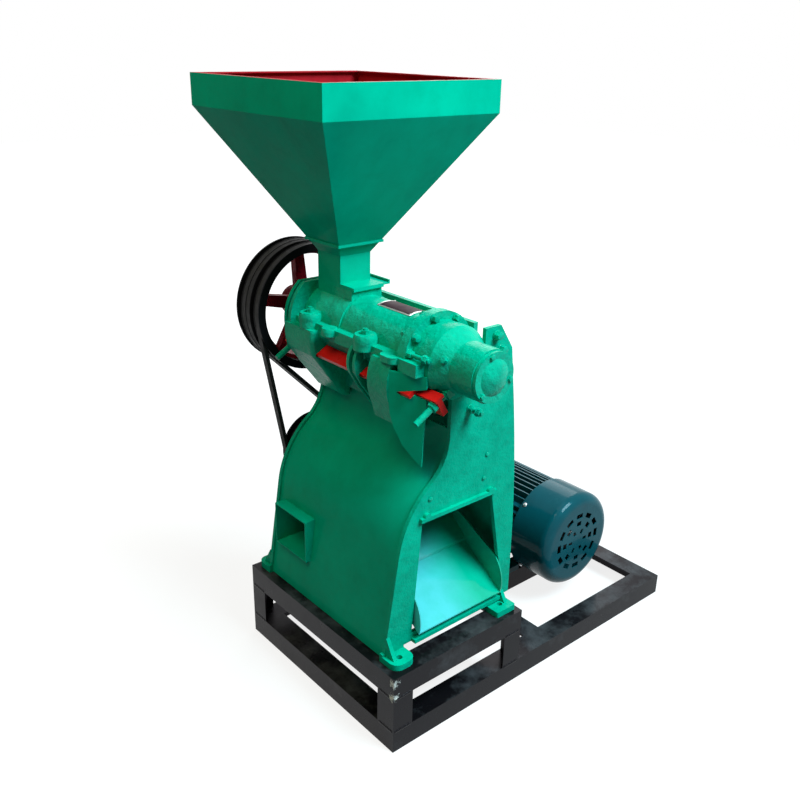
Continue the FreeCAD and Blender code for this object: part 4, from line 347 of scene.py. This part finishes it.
def make_materials():
    """every finish of the machine: the record's slots, and finishes of the scene's own"""
    hue = bpy.context.scene.sheller_colours
    body = tuple(hue.body)
    red = tuple(hue.hopper_inside)
    return {
        # the base's up-facing faces carry dust and a painted sheen
        "frame_black": paint("frame_black", tuple(hue.base), gloss=0.3, grain=300.0, shine=0.08,
                             chips=0.14, dust_and_sheen=0.34, primer=(0.15, 0.13, 0.11), coat=0.1,
                             scuffs=(stand_corner(0.014), stand_corner(0.05))),
        "body_green": paint("body_green", body, gloss=0.3, cast=1.0, grain=160.0, coat=0.12,
                            coat_rough=0.12, shine=0.02),
        "plate_green": paint("plate_green", body, gloss=0.3, cast=0.5, grain=160.0, coat=0.05,
                             shine=0.01),
        "sheet_green": paint("sheet_green", body, gloss=0.32, grain=240.0, coat=0.04, shine=0.01),
        # the chute's sheets carry a painted glare: a lighter bluer colour in patches, most on the
        # left
        "chute_green": paint("chute_green", body, gloss=0.2, grain=240.0, coat=0.5,
                             coat_rough=0.1, shine=0.02, second=painted_glare((0.065, 0.52, 0.53))),
        "hopper_green": paint("hopper_green", body, gloss=0.32, grain=240.0, coat=0.02, shine=0.005,
                              second=inside_red(red)),
        "pulley_black": paint("pulley_black", (0.006, 0.006, 0.007), gloss=0.33, grain=200.0,
                              primer=(0.05, 0.035, 0.025), chips=0.1, coat=0.01, shine=0.04),
        "pulley_red": paint("pulley_red", tuple(hue.spokes), gloss=0.35, cast=1.0, grain=160.0,
                            coat=0.01, shine=0.04),
        "knife_red": paint("knife_red", tuple(hue.knife), gloss=0.3, grain=260.0),
        "motor_teal": paint("motor_teal", tuple(hue.motor), gloss=0.24, grain=260.0, coat=0.18,
                            coat_rough=0.07, shine=0.05),
        "bright_steel": bare_steel("bright_steel", (0.56, 0.57, 0.58), 0.3, (1.0, 14.0, 1.0)),
        "bearing_steel": bare_steel("bearing_steel", (0.62, 0.62, 0.63), 0.2),
        "roller_iron": bare_steel("roller_iron", (0.26, 0.26, 0.27), 0.45, scale=200.0, rust=0.3),
        "screen_steel": bare_steel("screen_steel", (0.5, 0.5, 0.5), 0.35, (1.0, 8.0, 1.0)),
        "core_steel": bare_steel("core_steel", (0.34, 0.34, 0.35), 0.5, (1.0, 40.0, 1.0)),
        "fan_steel": paint("fan_steel", (0.09, 0.25, 0.17), gloss=0.4, chips=0.2),
        "belt_rubber": belt_cloth("belt_rubber"),
        "fan_plastic": moulded("fan_plastic", (0.03, 0.03, 0.03)),
        "plate_metal": bare_steel("plate_metal", (0.6, 0.58, 0.57), 0.3, (20.0, 1.0, 1.0)),
        "plate_field": paint("plate_field", (0.022, 0.008, 0.012), gloss=0.5, grain=400.0,
                             shine=0.08),
    }


MATERIALS = {}

# Nodes whose finish is the scene's own and not their slot's
OWN_FINISH = {"hopper": "hopper_green", "feed_gate": "sheet_green",
              "bran_chute": "chute_green", "bran_baffle": "chute_green",
              "front_end_plate": "plate_green", "rear_end_plate": "plate_green"}


class SHELLER_OT_paint(bpy.types.Operator):
    """Gives every modelled part of the frame its finish"""
    bl_idname = "sheller.paint"
    bl_label = "Paint the machine"

    def execute(self, context):
        MATERIALS.update(make_materials())
        for entry in frame["record"]["subparts"]:
            name = entry["node"]
            finish = OWN_FINISH.get(name, entry["material_slot"])
            node = frame["nodes"][name]
            if not node.material_slots:
                node.data.materials.append(MATERIALS[finish])
            for place in node.material_slots:
                place.material = MATERIALS[finish]
        return {"FINISHED"}


# Modelling helpers

def start():
    """nothing selected, in object mode"""
    if bpy.context.object and bpy.context.object.mode != "OBJECT":
        bpy.ops.object.mode_set(mode="OBJECT")
    bpy.ops.object.select_all(action="DESELECT")


def edit_faces(test):
    """in edit mode, selects the faces that pass the test"""
    bpy.ops.mesh.select_mode(type="FACE")
    bpy.ops.mesh.select_all(action="DESELECT")
    mesh = bmesh.from_edit_mesh(bpy.context.object.data)
    for face in mesh.faces:
        face.select_set(test(face))
    bmesh.update_edit_mesh(bpy.context.object.data)


def settle(piece, name, finish, body):
    """puts a piece's place into its mesh and gives it its name, finish and body"""
    start()
    piece.select_set(True)
    bpy.context.view_layer.objects.active = piece
    bpy.ops.object.transform_apply(location=True, rotation=True, scale=True)
    bpy.ops.object.shade_smooth_by_angle(angle=math.radians(35))
    piece.name = name
    piece.data.name = name
    piece.data.materials.clear()
    piece.data.materials.append(MATERIALS[finish])
    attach(piece, body)
    return piece


def hexagon_head(across, height, washer=True, stub=0.0):
    """hexagon with a chamfered top, standing on the origin, with its washer and thread end"""
    start()
    base = height * 0.28 if washer else 0.0
    bpy.ops.mesh.primitive_cylinder_add(
        vertices=6, radius=across / math.sqrt(3), depth=height, location=(0, 0, base + height / 2))
    head = bpy.context.object
    bpy.ops.object.transform_apply(location=True, rotation=True, scale=True)
    bpy.ops.object.mode_set(mode="EDIT")
    edit_faces(lambda face: face.normal.z > 0.9)
    bpy.ops.mesh.bevel(offset=across * 0.07, segments=2)
    if washer:
        bpy.ops.mesh.primitive_cylinder_add(
            vertices=28, radius=across * 0.66, depth=base, location=(0, 0, base / 2))
        bpy.ops.mesh.bevel(offset=base * 0.2, segments=1)
    if stub:
        top = base + height
        bpy.ops.mesh.primitive_cylinder_add(
            vertices=20, radius=across * 0.28, depth=stub, location=(0, 0, top + stub / 2))
        edit_top(top + stub - 0.0001)
        bpy.ops.mesh.bevel(offset=across * 0.04, segments=1)
    bpy.ops.object.mode_set(mode="OBJECT")
    return head


def edit_top(level):
    """in edit mode, selects the faces that look up above this level"""
    edit_faces(lambda face: face.normal.z > 0.9 and face.calc_center_median().z > level)


def round_head(radius, height):
    """domed rivet or screw head, standing on the origin"""
    start()
    bpy.ops.mesh.primitive_uv_sphere_add(segments=20, ring_count=12, radius=radius)
    head = bpy.context.object
    bpy.ops.object.mode_set(mode="EDIT")
    bpy.ops.mesh.select_all(action="SELECT")
    bpy.ops.mesh.bisect(plane_co=(0, 0, 0), plane_no=(0, 0, 1), use_fill=True, clear_inner=True)
    bpy.ops.mesh.select_all(action="SELECT")
    bpy.ops.transform.resize(value=(1, 1, height / radius))
    bpy.ops.object.mode_set(mode="OBJECT")
    return head


def copies(pattern, places, name, finish, body):
    """one copy of the pattern, with its own mesh, at each place: point, outward direction, turn"""
    made = []
    for number, (point, outward, turn) in enumerate(places, 1):
        piece = pattern.copy()
        piece.data = pattern.data.copy()
        bpy.context.collection.objects.link(piece)
        aim = Vector(outward).normalized().to_track_quat("Z", "Y").to_matrix().to_4x4()
        piece.data.transform(Matrix.Translation(point) @ aim @ Matrix.Rotation(turn, 4, "Z"))
        made.append(settle(piece, f"{name}_{number}", finish, body))
    bpy.data.objects.remove(pattern)
    return made


def thicken(sheet, wall, segments):
    """makes the active flat sheet a wall with bevelled edges"""
    solid = sheet.modifiers.new("thickness", "SOLIDIFY")
    solid.thickness = wall
    solid.offset = 1.0
    bevel = sheet.modifiers.new("edge", "BEVEL")
    bevel.width = wall * 0.3
    bevel.segments = segments
    for modifier in ("thickness", "edge"):
        bpy.ops.object.modifier_apply(modifier=modifier)


def round_shaft(radius, angle, y):
    """point at a radius from the shaft line, its angle taken from straight up to the right"""
    return Vector((SHAFT.x + radius * math.sin(angle), y, SHAFT.z + radius * math.cos(angle)))


# Pieces

AHEAD = (0, -1, 0)
BEHIND = (0, 1, 0)

COVER_CROWN_R = 0.0786
PLATE_FIRST_ANGLE = math.radians(-18)
PLATE_BACK = 0.057
PLATE_WALL = 0.0009
FIELD_WALL = 0.0003
FIELD_MARGIN = 0.006
FIELD_TURN = 0.05
RIVET_EDGE = 0.003


class SHELLER_OT_cover_plate(bpy.types.Operator):
    """Bare metal plate with four rivets on the cover's crown"""
    bl_idname = "sheller.cover_plate"
    bl_label = "Cover plate"

    def execute(self, context):
        size = context.scene.sheller_sizes
        radius = COVER_CROWN_R
        first = PLATE_FIRST_ANGLE
        near_y = low_of("upper_cover").y + PLATE_BACK
        plate = swept_plate(radius, near_y, size.plate_length, first, size.plate_sweep, PLATE_WALL)
        settle(plate, "cover_plate", "plate_metal", "machine")
        field = swept_plate(radius + PLATE_WALL, near_y + FIELD_MARGIN,
                            size.plate_length - 2 * FIELD_MARGIN, first + FIELD_TURN,
                            size.plate_sweep - 2 * FIELD_TURN, FIELD_WALL)
        settle(field, "cover_plate_field", "plate_field", "machine")
        places = []
        turn = RIVET_EDGE / radius
        for y in (near_y + RIVET_EDGE, near_y + size.plate_length - RIVET_EDGE):
            for angle in (first + turn, first + size.plate_sweep - turn):
                point = round_shaft(radius + PLATE_WALL, angle, y)
                places.append((point, point - Vector((SHAFT.x, y, SHAFT.z)), 0.0))
        copies(round_head(0.0022, 0.0013), places, "plate_rivet", "plate_metal", "machine")
        return {"FINISHED"}


def swept_plate(radius, near_y, length, first, sweep, wall):
    """thin plate that follows the cover: one edge spun round the shaft line, then thickened"""
    start()
    bpy.ops.mesh.primitive_plane_add(size=1, location=(0, 0, 0))
    plate = bpy.context.object
    bpy.ops.object.mode_set(mode="EDIT")
    bpy.ops.mesh.select_all(action="SELECT")
    mesh = bmesh.from_edit_mesh(plate.data)
    mesh.verts.ensure_lookup_table()
    bmesh.ops.delete(mesh, geom=mesh.verts[2:], context="VERTS")
    mesh.verts.ensure_lookup_table()
    for vertex, y in zip(mesh.verts, (near_y, near_y + length)):
        vertex.co = round_shaft(radius, first, y)
    for edge in mesh.edges:
        edge.select_set(True)
    bmesh.update_edit_mesh(plate.data)
    bpy.ops.mesh.spin(steps=12, angle=-sweep, center=(SHAFT.x, near_y, SHAFT.z), axis=(0, 1, 0))
    bpy.ops.mesh.select_all(action="SELECT")
    bpy.ops.mesh.remove_doubles(threshold=0.00001)
    bpy.ops.mesh.normals_make_consistent(inside=False)
    mesh = bmesh.from_edit_mesh(plate.data)
    mesh.faces.ensure_lookup_table()
    face = mesh.faces[0]
    outward = face.calc_center_median() - Vector((SHAFT.x, near_y, SHAFT.z))
    outward.y = 0.0
    if face.normal.dot(outward) < 0:
        bpy.ops.mesh.flip_normals()
    bpy.ops.object.mode_set(mode="OBJECT")
    thicken(plate, wall, 1)
    return plate


CAP_SCREW_R = 0.0465
CAP_SCREW_HEIGHT = 0.0045
CAP_SCREW_TURN = 0.3
CAP_DOME_HEIGHT = 0.012
REAR_CAP_OFFSET = 0.5


class SHELLER_OT_cap_screws(bpy.types.Operator):
    """Hexagon screws round the main shaft's two bearing caps"""
    bl_idname = "sheller.cap_screws"
    bl_label = "Cap screws"

    def execute(self, context):
        across = context.scene.sheller_sizes.cap_screw * 0.8
        front = low_of("front_bearing_cap").y + CAP_DOME_HEIGHT
        rear = high_of("rear_bearing_cap").y
        near = []
        far = []
        for k in range(3):
            angle = math.radians(106 + 120 * k)
            near.append((round_shaft(CAP_SCREW_R, angle, front), AHEAD, CAP_SCREW_TURN))
            angle += REAR_CAP_OFFSET
            far.append((round_shaft(CAP_SCREW_R, angle, rear), BEHIND, CAP_SCREW_TURN))
        for places, name in ((near, "front_cap_screw"), (far, "rear_cap_screw")):
            copies(hexagon_head(across, CAP_SCREW_HEIGHT, washer=False), places, name,
                   "body_green", "machine")
        return {"FINISHED"}


FLANGE_WALL = 0.012
FLANGE_BOLT_R = 0.0885
FLANGE_BOLT_ANGLES = (-52, -12, 30, 66)
NUT_HEIGHT = 0.009
END_PLATE_AHEAD = 0.066

# Places on the front end plate: to the right of the shaft line and above it
FAR_EAR_BOLTS = ((0.114, 0.038), (0.13, 0.003))
PLATE_PLUGS = ((0.107, -0.24), (0.1, -0.297), (-0.062, -0.297))


class SHELLER_OT_head_bolts(bpy.types.Operator):
    """Bolts of the mill head: through the flanges, on the far ear and below the housing"""
    bl_idname = "sheller.head_bolts"
    bl_label = "Mill head bolts"

    def execute(self, context):
        across = context.scene.sheller_sizes.frame_bolt
        seam = low_of("upper_cover").y
        front = seam - FLANGE_WALL
        rear = seam + FLANGE_WALL
        face = seam - END_PLATE_AHEAD
        angles = [math.radians(a) for a in FLANGE_BOLT_ANGLES]
        heads = [(round_shaft(FLANGE_BOLT_R, a, front), AHEAD, a) for a in angles]
        nuts = [(round_shaft(FLANGE_BOLT_R, a, rear), BEHIND, a) for a in angles]
        copies(hexagon_head(across * 0.85, NUT_HEIGHT), heads, "flange_bolt", "body_green",
               "machine")
        copies(hexagon_head(across * 0.85, NUT_HEIGHT, stub=0.006), nuts, "flange_nut",
               "body_green", "machine")
        ears = []
        for x, z in FAR_EAR_BOLTS:
            ears.append((Vector((SHAFT.x + x, face, SHAFT.z + z)), AHEAD, x * 20))
        copies(hexagon_head(across, 0.011), ears, "far_ear_bolt", "body_green", "machine")
        plugs = []
        for x, z in PLATE_PLUGS:
            plugs.append((Vector((SHAFT.x + x, face, SHAFT.z + z)), AHEAD, 0.0))
        copies(round_head(0.0055, 0.002), plugs, "plate_plug", "body_green", "machine")
        root = round_shaft(0.088, math.radians(-74.5), front)
        self.long_stud("housing_stud", root, 0.062, across)
        root = Vector((SHAFT.x + 0.045, face, SHAFT.z - 0.114))
        self.long_stud("lower_stud", root, 0.038, across)
        plug = round_shaft(0.0635, math.radians(-66), face - 0.024)
        outward = plug - Vector((SHAFT.x, plug.y + 0.03, SHAFT.z))
        copies(hexagon_head(across * 0.8, 0.012), [(plug, outward, 0.3)], "housing_plug",
               "body_green", "machine")
        return {"FINISHED"}

    def long_stud(self, name, root, length, across):
        """stud that stands forward, with a nut at its root and a nut near its tip"""
        start()
        bpy.ops.mesh.primitive_cylinder_add(
            vertices=24, radius=across * 0.27, depth=length, location=(0, 0, length / 2))
        stud = bpy.context.object
        bpy.ops.object.transform_apply(location=True, rotation=True, scale=True)
        bpy.ops.object.mode_set(mode="EDIT")
        edit_top(length - 0.0001)
        bpy.ops.mesh.bevel(offset=across * 0.05, segments=1)
        bpy.ops.object.mode_set(mode="OBJECT")
        copies(stud, [(root, AHEAD, 0.0)], name, "body_green", "machine")
        tip = root - Vector((0, length - 0.016, 0))
        copies(hexagon_head(across * 0.9, NUT_HEIGHT), [(root, AHEAD, 0.1), (tip, AHEAD, 0.4)],
               name + "_nut", "body_green", "machine")


KNIFE_SLOPE = math.radians(30)
STUD_INSET = 0.013
STUD_NUT_OUT = 0.1013
STUD_NUT_DOWN = 0.021
STUD_HOLE_R = 0.0076


class SHELLER_OT_stud_nuts(bpy.types.Operator):
    """Hexagon nuts that hold the knife's brackets on their studs and move with them"""
    bl_idname = "sheller.stud_nuts"
    bl_label = "Knife stud nuts"

    def execute(self, context):
        across = context.scene.sheller_sizes.stud_nut
        slope = Vector((-math.cos(KNIFE_SLOPE), 0.0, -math.sin(KNIFE_SLOPE)))
        down = Vector((-slope.z, 0.0, slope.x))
        places = []
        low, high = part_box("knife_brackets")
        for y in (low.y + STUD_INSET, high.y - STUD_INSET):
            centre = Vector((SHAFT.x, y, SHAFT.z))
            places.append((centre + slope * STUD_NUT_OUT + down * STUD_NUT_DOWN, slope, 0.4))
        copies(self.bored_nut(across), places, "stud_nut", "body_green", "knife")
        return {"FINISHED"}

    def bored_nut(self, across):
        """nut with its hole, cut by a round cutter"""
        nut = hexagon_head(across, 0.011, washer=False)
        start()
        bpy.ops.mesh.primitive_cylinder_add(
            vertices=32, radius=STUD_HOLE_R, depth=0.04, location=(0, 0, 0))
        cutter = bpy.context.object
        start()
        nut.select_set(True)
        bpy.context.view_layer.objects.active = nut
        hole = nut.modifiers.new("hole", "BOOLEAN")
        hole.operation = "DIFFERENCE"
        hole.object = cutter
        bpy.ops.object.modifier_apply(modifier="hole")
        bpy.data.objects.remove(cutter)
        return nut


COWL_SCREW_INSET = 0.011
LID_SCREW_INSET = 0.011
SCREW_SINK = 0.0003


class SHELLER_OT_cowl_screws(bpy.types.Operator):
    """Screws round the motor's cowl and on its terminal box lid"""
    bl_idname = "sheller.cowl_screws"
    bl_label = "Motor cowl screws"

    def execute(self, context):
        low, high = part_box("fan_cowl")
        centre = Vector((MOTOR.x, high.y - COWL_SCREW_INSET, MOTOR.z))
        reach = (high.z - low.z) / 2 - SCREW_SINK
        places = []
        for k in range(4):
            angle = math.radians(45 + 90 * k)
            outward = Vector((math.sin(angle), 0.0, math.cos(angle)))
            places.append((centre + outward * reach, outward, 0.0))
        copies(round_head(0.006, 0.0035), places, "cowl_screw", "bright_steel", "machine")
        low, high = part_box("terminal_box")
        places = []
        for y in (low.y + LID_SCREW_INSET, high.y - LID_SCREW_INSET):
            for z in (low.z + LID_SCREW_INSET, high.z - LID_SCREW_INSET):
                places.append((Vector((low.x, y, z)), (-1, 0, 0), 0.0))
        copies(round_head(0.0045, 0.0028), places, "lid_screw", "bright_steel", "machine")
        return {"FINISHED"}


# The skirt follows the chute's tray, whose slope and sheet are the part's own
TRAY_SLOPE = math.tan(math.radians(34.4))
TRAY_SHEET = 0.003
TRAY_FRONT = 0.0035
SKIRT_SHEET = 0.002
SKIRT_SIDE = 0.0045
SKIRT_LIFT = 0.0062
SKIRT_HEM = (0.0, -0.0014, -0.0052)


class SHELLER_OT_baffle_skirt(bpy.types.Operator):
    """Sheet that carries the bran baffle down onto the chute, with a hem at its lower edge"""
    bl_idname = "sheller.baffle_skirt"
    bl_label = "Baffle skirt"

    def execute(self, context):
        chute_low, chute_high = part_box("bran_chute")
        baffle_low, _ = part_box("bran_baffle")
        foot_y = baffle_low.y - context.scene.sheller_sizes.skirt_lap
        tray_z = chute_low.z + TRAY_SHEET + (foot_y - chute_low.y - TRAY_FRONT) * TRAY_SLOPE
        foot_z = tray_z + SKIRT_LIFT
        start()
        bpy.ops.mesh.primitive_plane_add(size=1, location=(0, 0, 0))
        skirt = bpy.context.object
        bpy.ops.object.mode_set(mode="EDIT")
        mesh = bmesh.from_edit_mesh(skirt.data)
        for vertex in mesh.verts:
            x = chute_low.x + SKIRT_SIDE if vertex.co.x < 0 else chute_high.x - SKIRT_SIDE
            if vertex.co.y < 0:
                vertex.co = (x, foot_y, foot_z)
            else:
                vertex.co = (x, baffle_low.y - 0.001, baffle_low.z + 0.001)
        for edge in mesh.edges:
            edge.select_set(all(v.co.y < foot_y + 0.001 for v in edge.verts))
        bmesh.update_edit_mesh(skirt.data)
        bpy.ops.mesh.extrude_region_move(TRANSFORM_OT_translate={"value": SKIRT_HEM})
        bpy.ops.mesh.select_all(action="SELECT")
        bpy.ops.mesh.normals_make_consistent(inside=False)
        mesh = bmesh.from_edit_mesh(skirt.data)
        mesh.faces.ensure_lookup_table()
        if mesh.faces[0].normal.z < 0:
            bpy.ops.mesh.flip_normals()
        bpy.ops.object.mode_set(mode="OBJECT")
        thicken(skirt, SKIRT_SHEET, 2)
        settle(skirt, "baffle_skirt", "chute_green", "machine")
        return {"FINISHED"}


BEAD_LENGTH = 0.046
BEAD_INSET = 0.005
BEAD_THICKNESS = 0.0032


class SHELLER_OT_welds(bpy.types.Operator):
    """Weld beads where the stand's posts meet the rails"""
    bl_idname = "sheller.welds"
    bl_label = "Weld beads"

    def execute(self, context):
        low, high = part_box("stand_posts")
        along_x = []
        along_y = []
        for z in (low.z, high.z):
            for x in (low.x + BEAD_INSET, high.x - BEAD_INSET - BEAD_LENGTH):
                along_x += [(Vector((x, y, z)), (1, 0, 0)) for y in (low.y, high.y)]
            for y in (low.y + BEAD_INSET, high.y - BEAD_INSET - BEAD_LENGTH):
                along_y += [(Vector((x, y, z)), (0, 1, 0)) for x in (low.x, high.x)]
        for number, (point, way) in enumerate(along_x + along_y, 1):
            self.bead(f"weld_bead_{number}", point, Vector(way), BEAD_LENGTH)
        return {"FINISHED"}

    def bead(self, name, point, way, length):
        """row of overlapping ripples"""
        size = bpy.context.scene.sheller_sizes
        start()
        count = max(3, int(length / size.weld_pitch))
        bpy.ops.mesh.primitive_uv_sphere_add(segments=12, ring_count=8, radius=0.5)
        bead = bpy.context.object
        bpy.ops.object.mode_set(mode="EDIT")
        across = Vector((0, 0, 1)).cross(way)
        for k in range(count):
            if k:
                bpy.ops.mesh.select_all(action="DESELECT")
                bpy.ops.mesh.primitive_uv_sphere_add(segments=12, ring_count=8, radius=0.5)
            wide = size.weld_width * (1.0 + 0.12 * math.sin(k * 2.3))
            thick = [abs(across[i]) * BEAD_THICKNESS + abs(way[i]) * size.weld_pitch * 2.0
                     for i in (0, 1)]
            bpy.ops.transform.resize(value=(*thick, wide))
            centre = point + way * (length * (k + 0.5) / count)
            centre.z += 0.0006 * math.sin(k * 1.7)
            bpy.ops.transform.translate(value=centre)
        bpy.ops.object.mode_set(mode="OBJECT")
        settle(bead, name, "frame_black", "machine")


# Stage

# Each lamp's name, place, size, power in watts and colour
LAMPS = (
    ("front_lamp", (0.8, -2.5, 4.0), 2.0, 370.0, (0.66, 0.9, 1.0)),
    ("left_lamp", (-2.2, -0.4, 3.8), 1.6, 46.0, (1.0, 0.97, 0.62)),
    ("top_lamp", (-0.3, 0.3, 3.9), 2.4, 16.0, (1.0, 1.0, 1.0)),
    ("back_lamp", (2.6, 2.4, 2.4), 2.0, 36.0, (1.0, 1.0, 1.0)),
)
LAMP_TARGET = Vector((0.0, 0.0, 0.75))

# The camera that was fitted to the photograph; angles in degrees
CAMERA_PLACE = (-1.489, -1.4862, 1.48667)
CAMERA_TURN = -40.6
CAMERA_DOWN = 22.24
CAMERA_ROLL = 1.06
SENSOR_WIDTH = 36.0
LENS = 39.85

# White surroundings as they are seen, and as they light the machine
SEEN_LEVEL = 1.0
LIGHT_LEVEL = 0.05

# Glow of the floor as it is seen, near the machine and far from it
FLOOR_NEAR = (0.8, 0.83)
FLOOR_FAR = (2.2, 1.05)


class SHELLER_OT_stage(bpy.types.Operator):
    """Pale floor, soft lamps, white surroundings and the camera"""
    bl_idname = "sheller.stage"
    bl_label = "Stage"

    def execute(self, context):
        scene = context.scene
        scene.view_settings.view_transform = "Standard"
        self.surroundings(scene)
        self.floor()
        for lamp in LAMPS:
            self.lamp(*lamp)
        self.camera(scene)
        return {"FINISHED"}

    def surroundings(self, scene):
        world = bpy.data.worlds.new("surroundings")
        world.use_nodes = True
        scene.world = world
        tree = world.node_tree
        back = tree.nodes["Background"]
        seen = seen_directly(tree)
        strength = tree.nodes.new("ShaderNodeMapRange")
        strength.inputs["To Min"].default_value = LIGHT_LEVEL
        strength.inputs["To Max"].default_value = SEEN_LEVEL
        tree.links.new(seen, strength.inputs["Value"])
        tree.links.new(strength.outputs["Result"], back.inputs["Strength"])
        back.inputs["Color"].default_value = (1.0, 1.0, 1.0, 1.0)

    def floor(self):
        start()
        bpy.ops.mesh.primitive_plane_add(size=24.0, location=(0, 0, 0))
        floor = bpy.context.object
        floor.name = "floor"
        material, tree, shader, add = new_material("floor_white")
        place = add("ShaderNodeTexCoord").outputs["Object"]
        tone = blended(add, ramp(add, noise(add, place, 2.0), 0.3, 0.7),
                       (0.2, 0.2, 0.2), (0.21, 0.21, 0.21))
        tree.links.new(tone, shader.inputs["Base Color"])
        shader.inputs["Roughness"].default_value = 0.9
        shader.inputs["Specular IOR Level"].default_value = 0.1
        far = add("ShaderNodeVectorMath", {0: place}, operation="LENGTH").outputs["Value"]
        level = ramp(add, far, FLOOR_NEAR[0], FLOOR_FAR[0], FLOOR_NEAR[1], FLOOR_FAR[1])
        glow = maths(add, "MULTIPLY", seen_directly(tree), level)
        tree.links.new(glow, shader.inputs["Emission Strength"])
        shader.inputs["Emission Color"].default_value = (1.0, 1.0, 1.0, 1.0)
        floor.data.materials.append(material)

    def lamp(self, name, place, size, power, colour):
        data = bpy.data.lights.new(name, "AREA")
        data.shape = "SQUARE"
        data.size = size
        data.energy = power
        data.color = colour
        lamp = bpy.data.objects.new(name, data)
        bpy.context.scene.collection.objects.link(lamp)
        lamp.location = place
        aim = LAMP_TARGET - Vector(place)
        lamp.rotation_euler = aim.to_track_quat("-Z", "Y").to_euler()

    def camera(self, scene):
        data = bpy.data.cameras.new("camera")
        data.sensor_width = SENSOR_WIDTH
        data.lens = LENS
        camera = bpy.data.objects.new("camera", data)
        scene.collection.objects.link(camera)
        turn = Matrix.Rotation(math.radians(CAMERA_TURN), 4, "Z")
        lean = Matrix.Rotation(math.radians(90 - CAMERA_DOWN), 4, "X")
        roll = Matrix.Rotation(math.radians(CAMERA_ROLL), 4, "Z")
        camera.matrix_world = Matrix.Translation(CAMERA_PLACE) @ turn @ lean @ roll
        scene.camera = camera


def seen_directly(tree):
    """1 for rays from the camera, a reflection or a pane, and 0 for light that falls on things"""
    path = tree.nodes.new("ShaderNodeLightPath")
    total = path.outputs["Is Camera Ray"]
    for name in ("Is Glossy Ray", "Is Transmission Ray"):
        most = tree.nodes.new("ShaderNodeMath")
        most.operation = "MAXIMUM"
        tree.links.new(total, most.inputs[0])
        tree.links.new(path.outputs[name], most.inputs[1])
        total = most.outputs[0]
    return total


class SHELLER_PT_panel(bpy.types.Panel):
    bl_label = "Sheller"
    bl_idname = "SHELLER_PT_panel"
    bl_space_type = "VIEW_3D"
    bl_region_type = "UI"
    bl_category = "Sheller"

    def draw(self, context):
        column = self.layout.column()
        for group in (context.scene.sheller_sizes, context.scene.sheller_colours):
            for name in group.bl_rna.properties.keys():
                if name not in ("rna_type", "name"):
                    column.prop(group, name)
        for operator in OPERATORS:
            column.operator(operator.bl_idname)


OPERATORS = (
    SHELLER_OT_paint,
    SHELLER_OT_cover_plate,
    SHELLER_OT_cap_screws,
    SHELLER_OT_head_bolts,
    SHELLER_OT_stud_nuts,
    SHELLER_OT_cowl_screws,
    SHELLER_OT_baffle_skirt,
    SHELLER_OT_welds,
    SHELLER_OT_stage,
)
CLASSES = (ShellerSizes, ShellerColours) + OPERATORS + (SHELLER_PT_panel,)


def register():
    for entry in CLASSES:
        bpy.utils.register_class(entry)
    bpy.types.Scene.sheller_sizes = PointerProperty(type=ShellerSizes)
    bpy.types.Scene.sheller_colours = PointerProperty(type=ShellerColours)


def unregister():
    del bpy.types.Scene.sheller_sizes
    del bpy.types.Scene.sheller_colours
    for entry in reversed(CLASSES):
        bpy.utils.unregister_class(entry)


def main():
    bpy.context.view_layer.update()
    register()
    bpy.ops.sheller.paint()
    bpy.ops.sheller.cover_plate()
    bpy.ops.sheller.cap_screws()
    bpy.ops.sheller.head_bolts()
    bpy.ops.sheller.stud_nuts()
    bpy.ops.sheller.cowl_screws()
    bpy.ops.sheller.baffle_skirt()
    bpy.ops.sheller.welds()
    bpy.ops.sheller.stage()


if __name__ == "__main__":
    main()
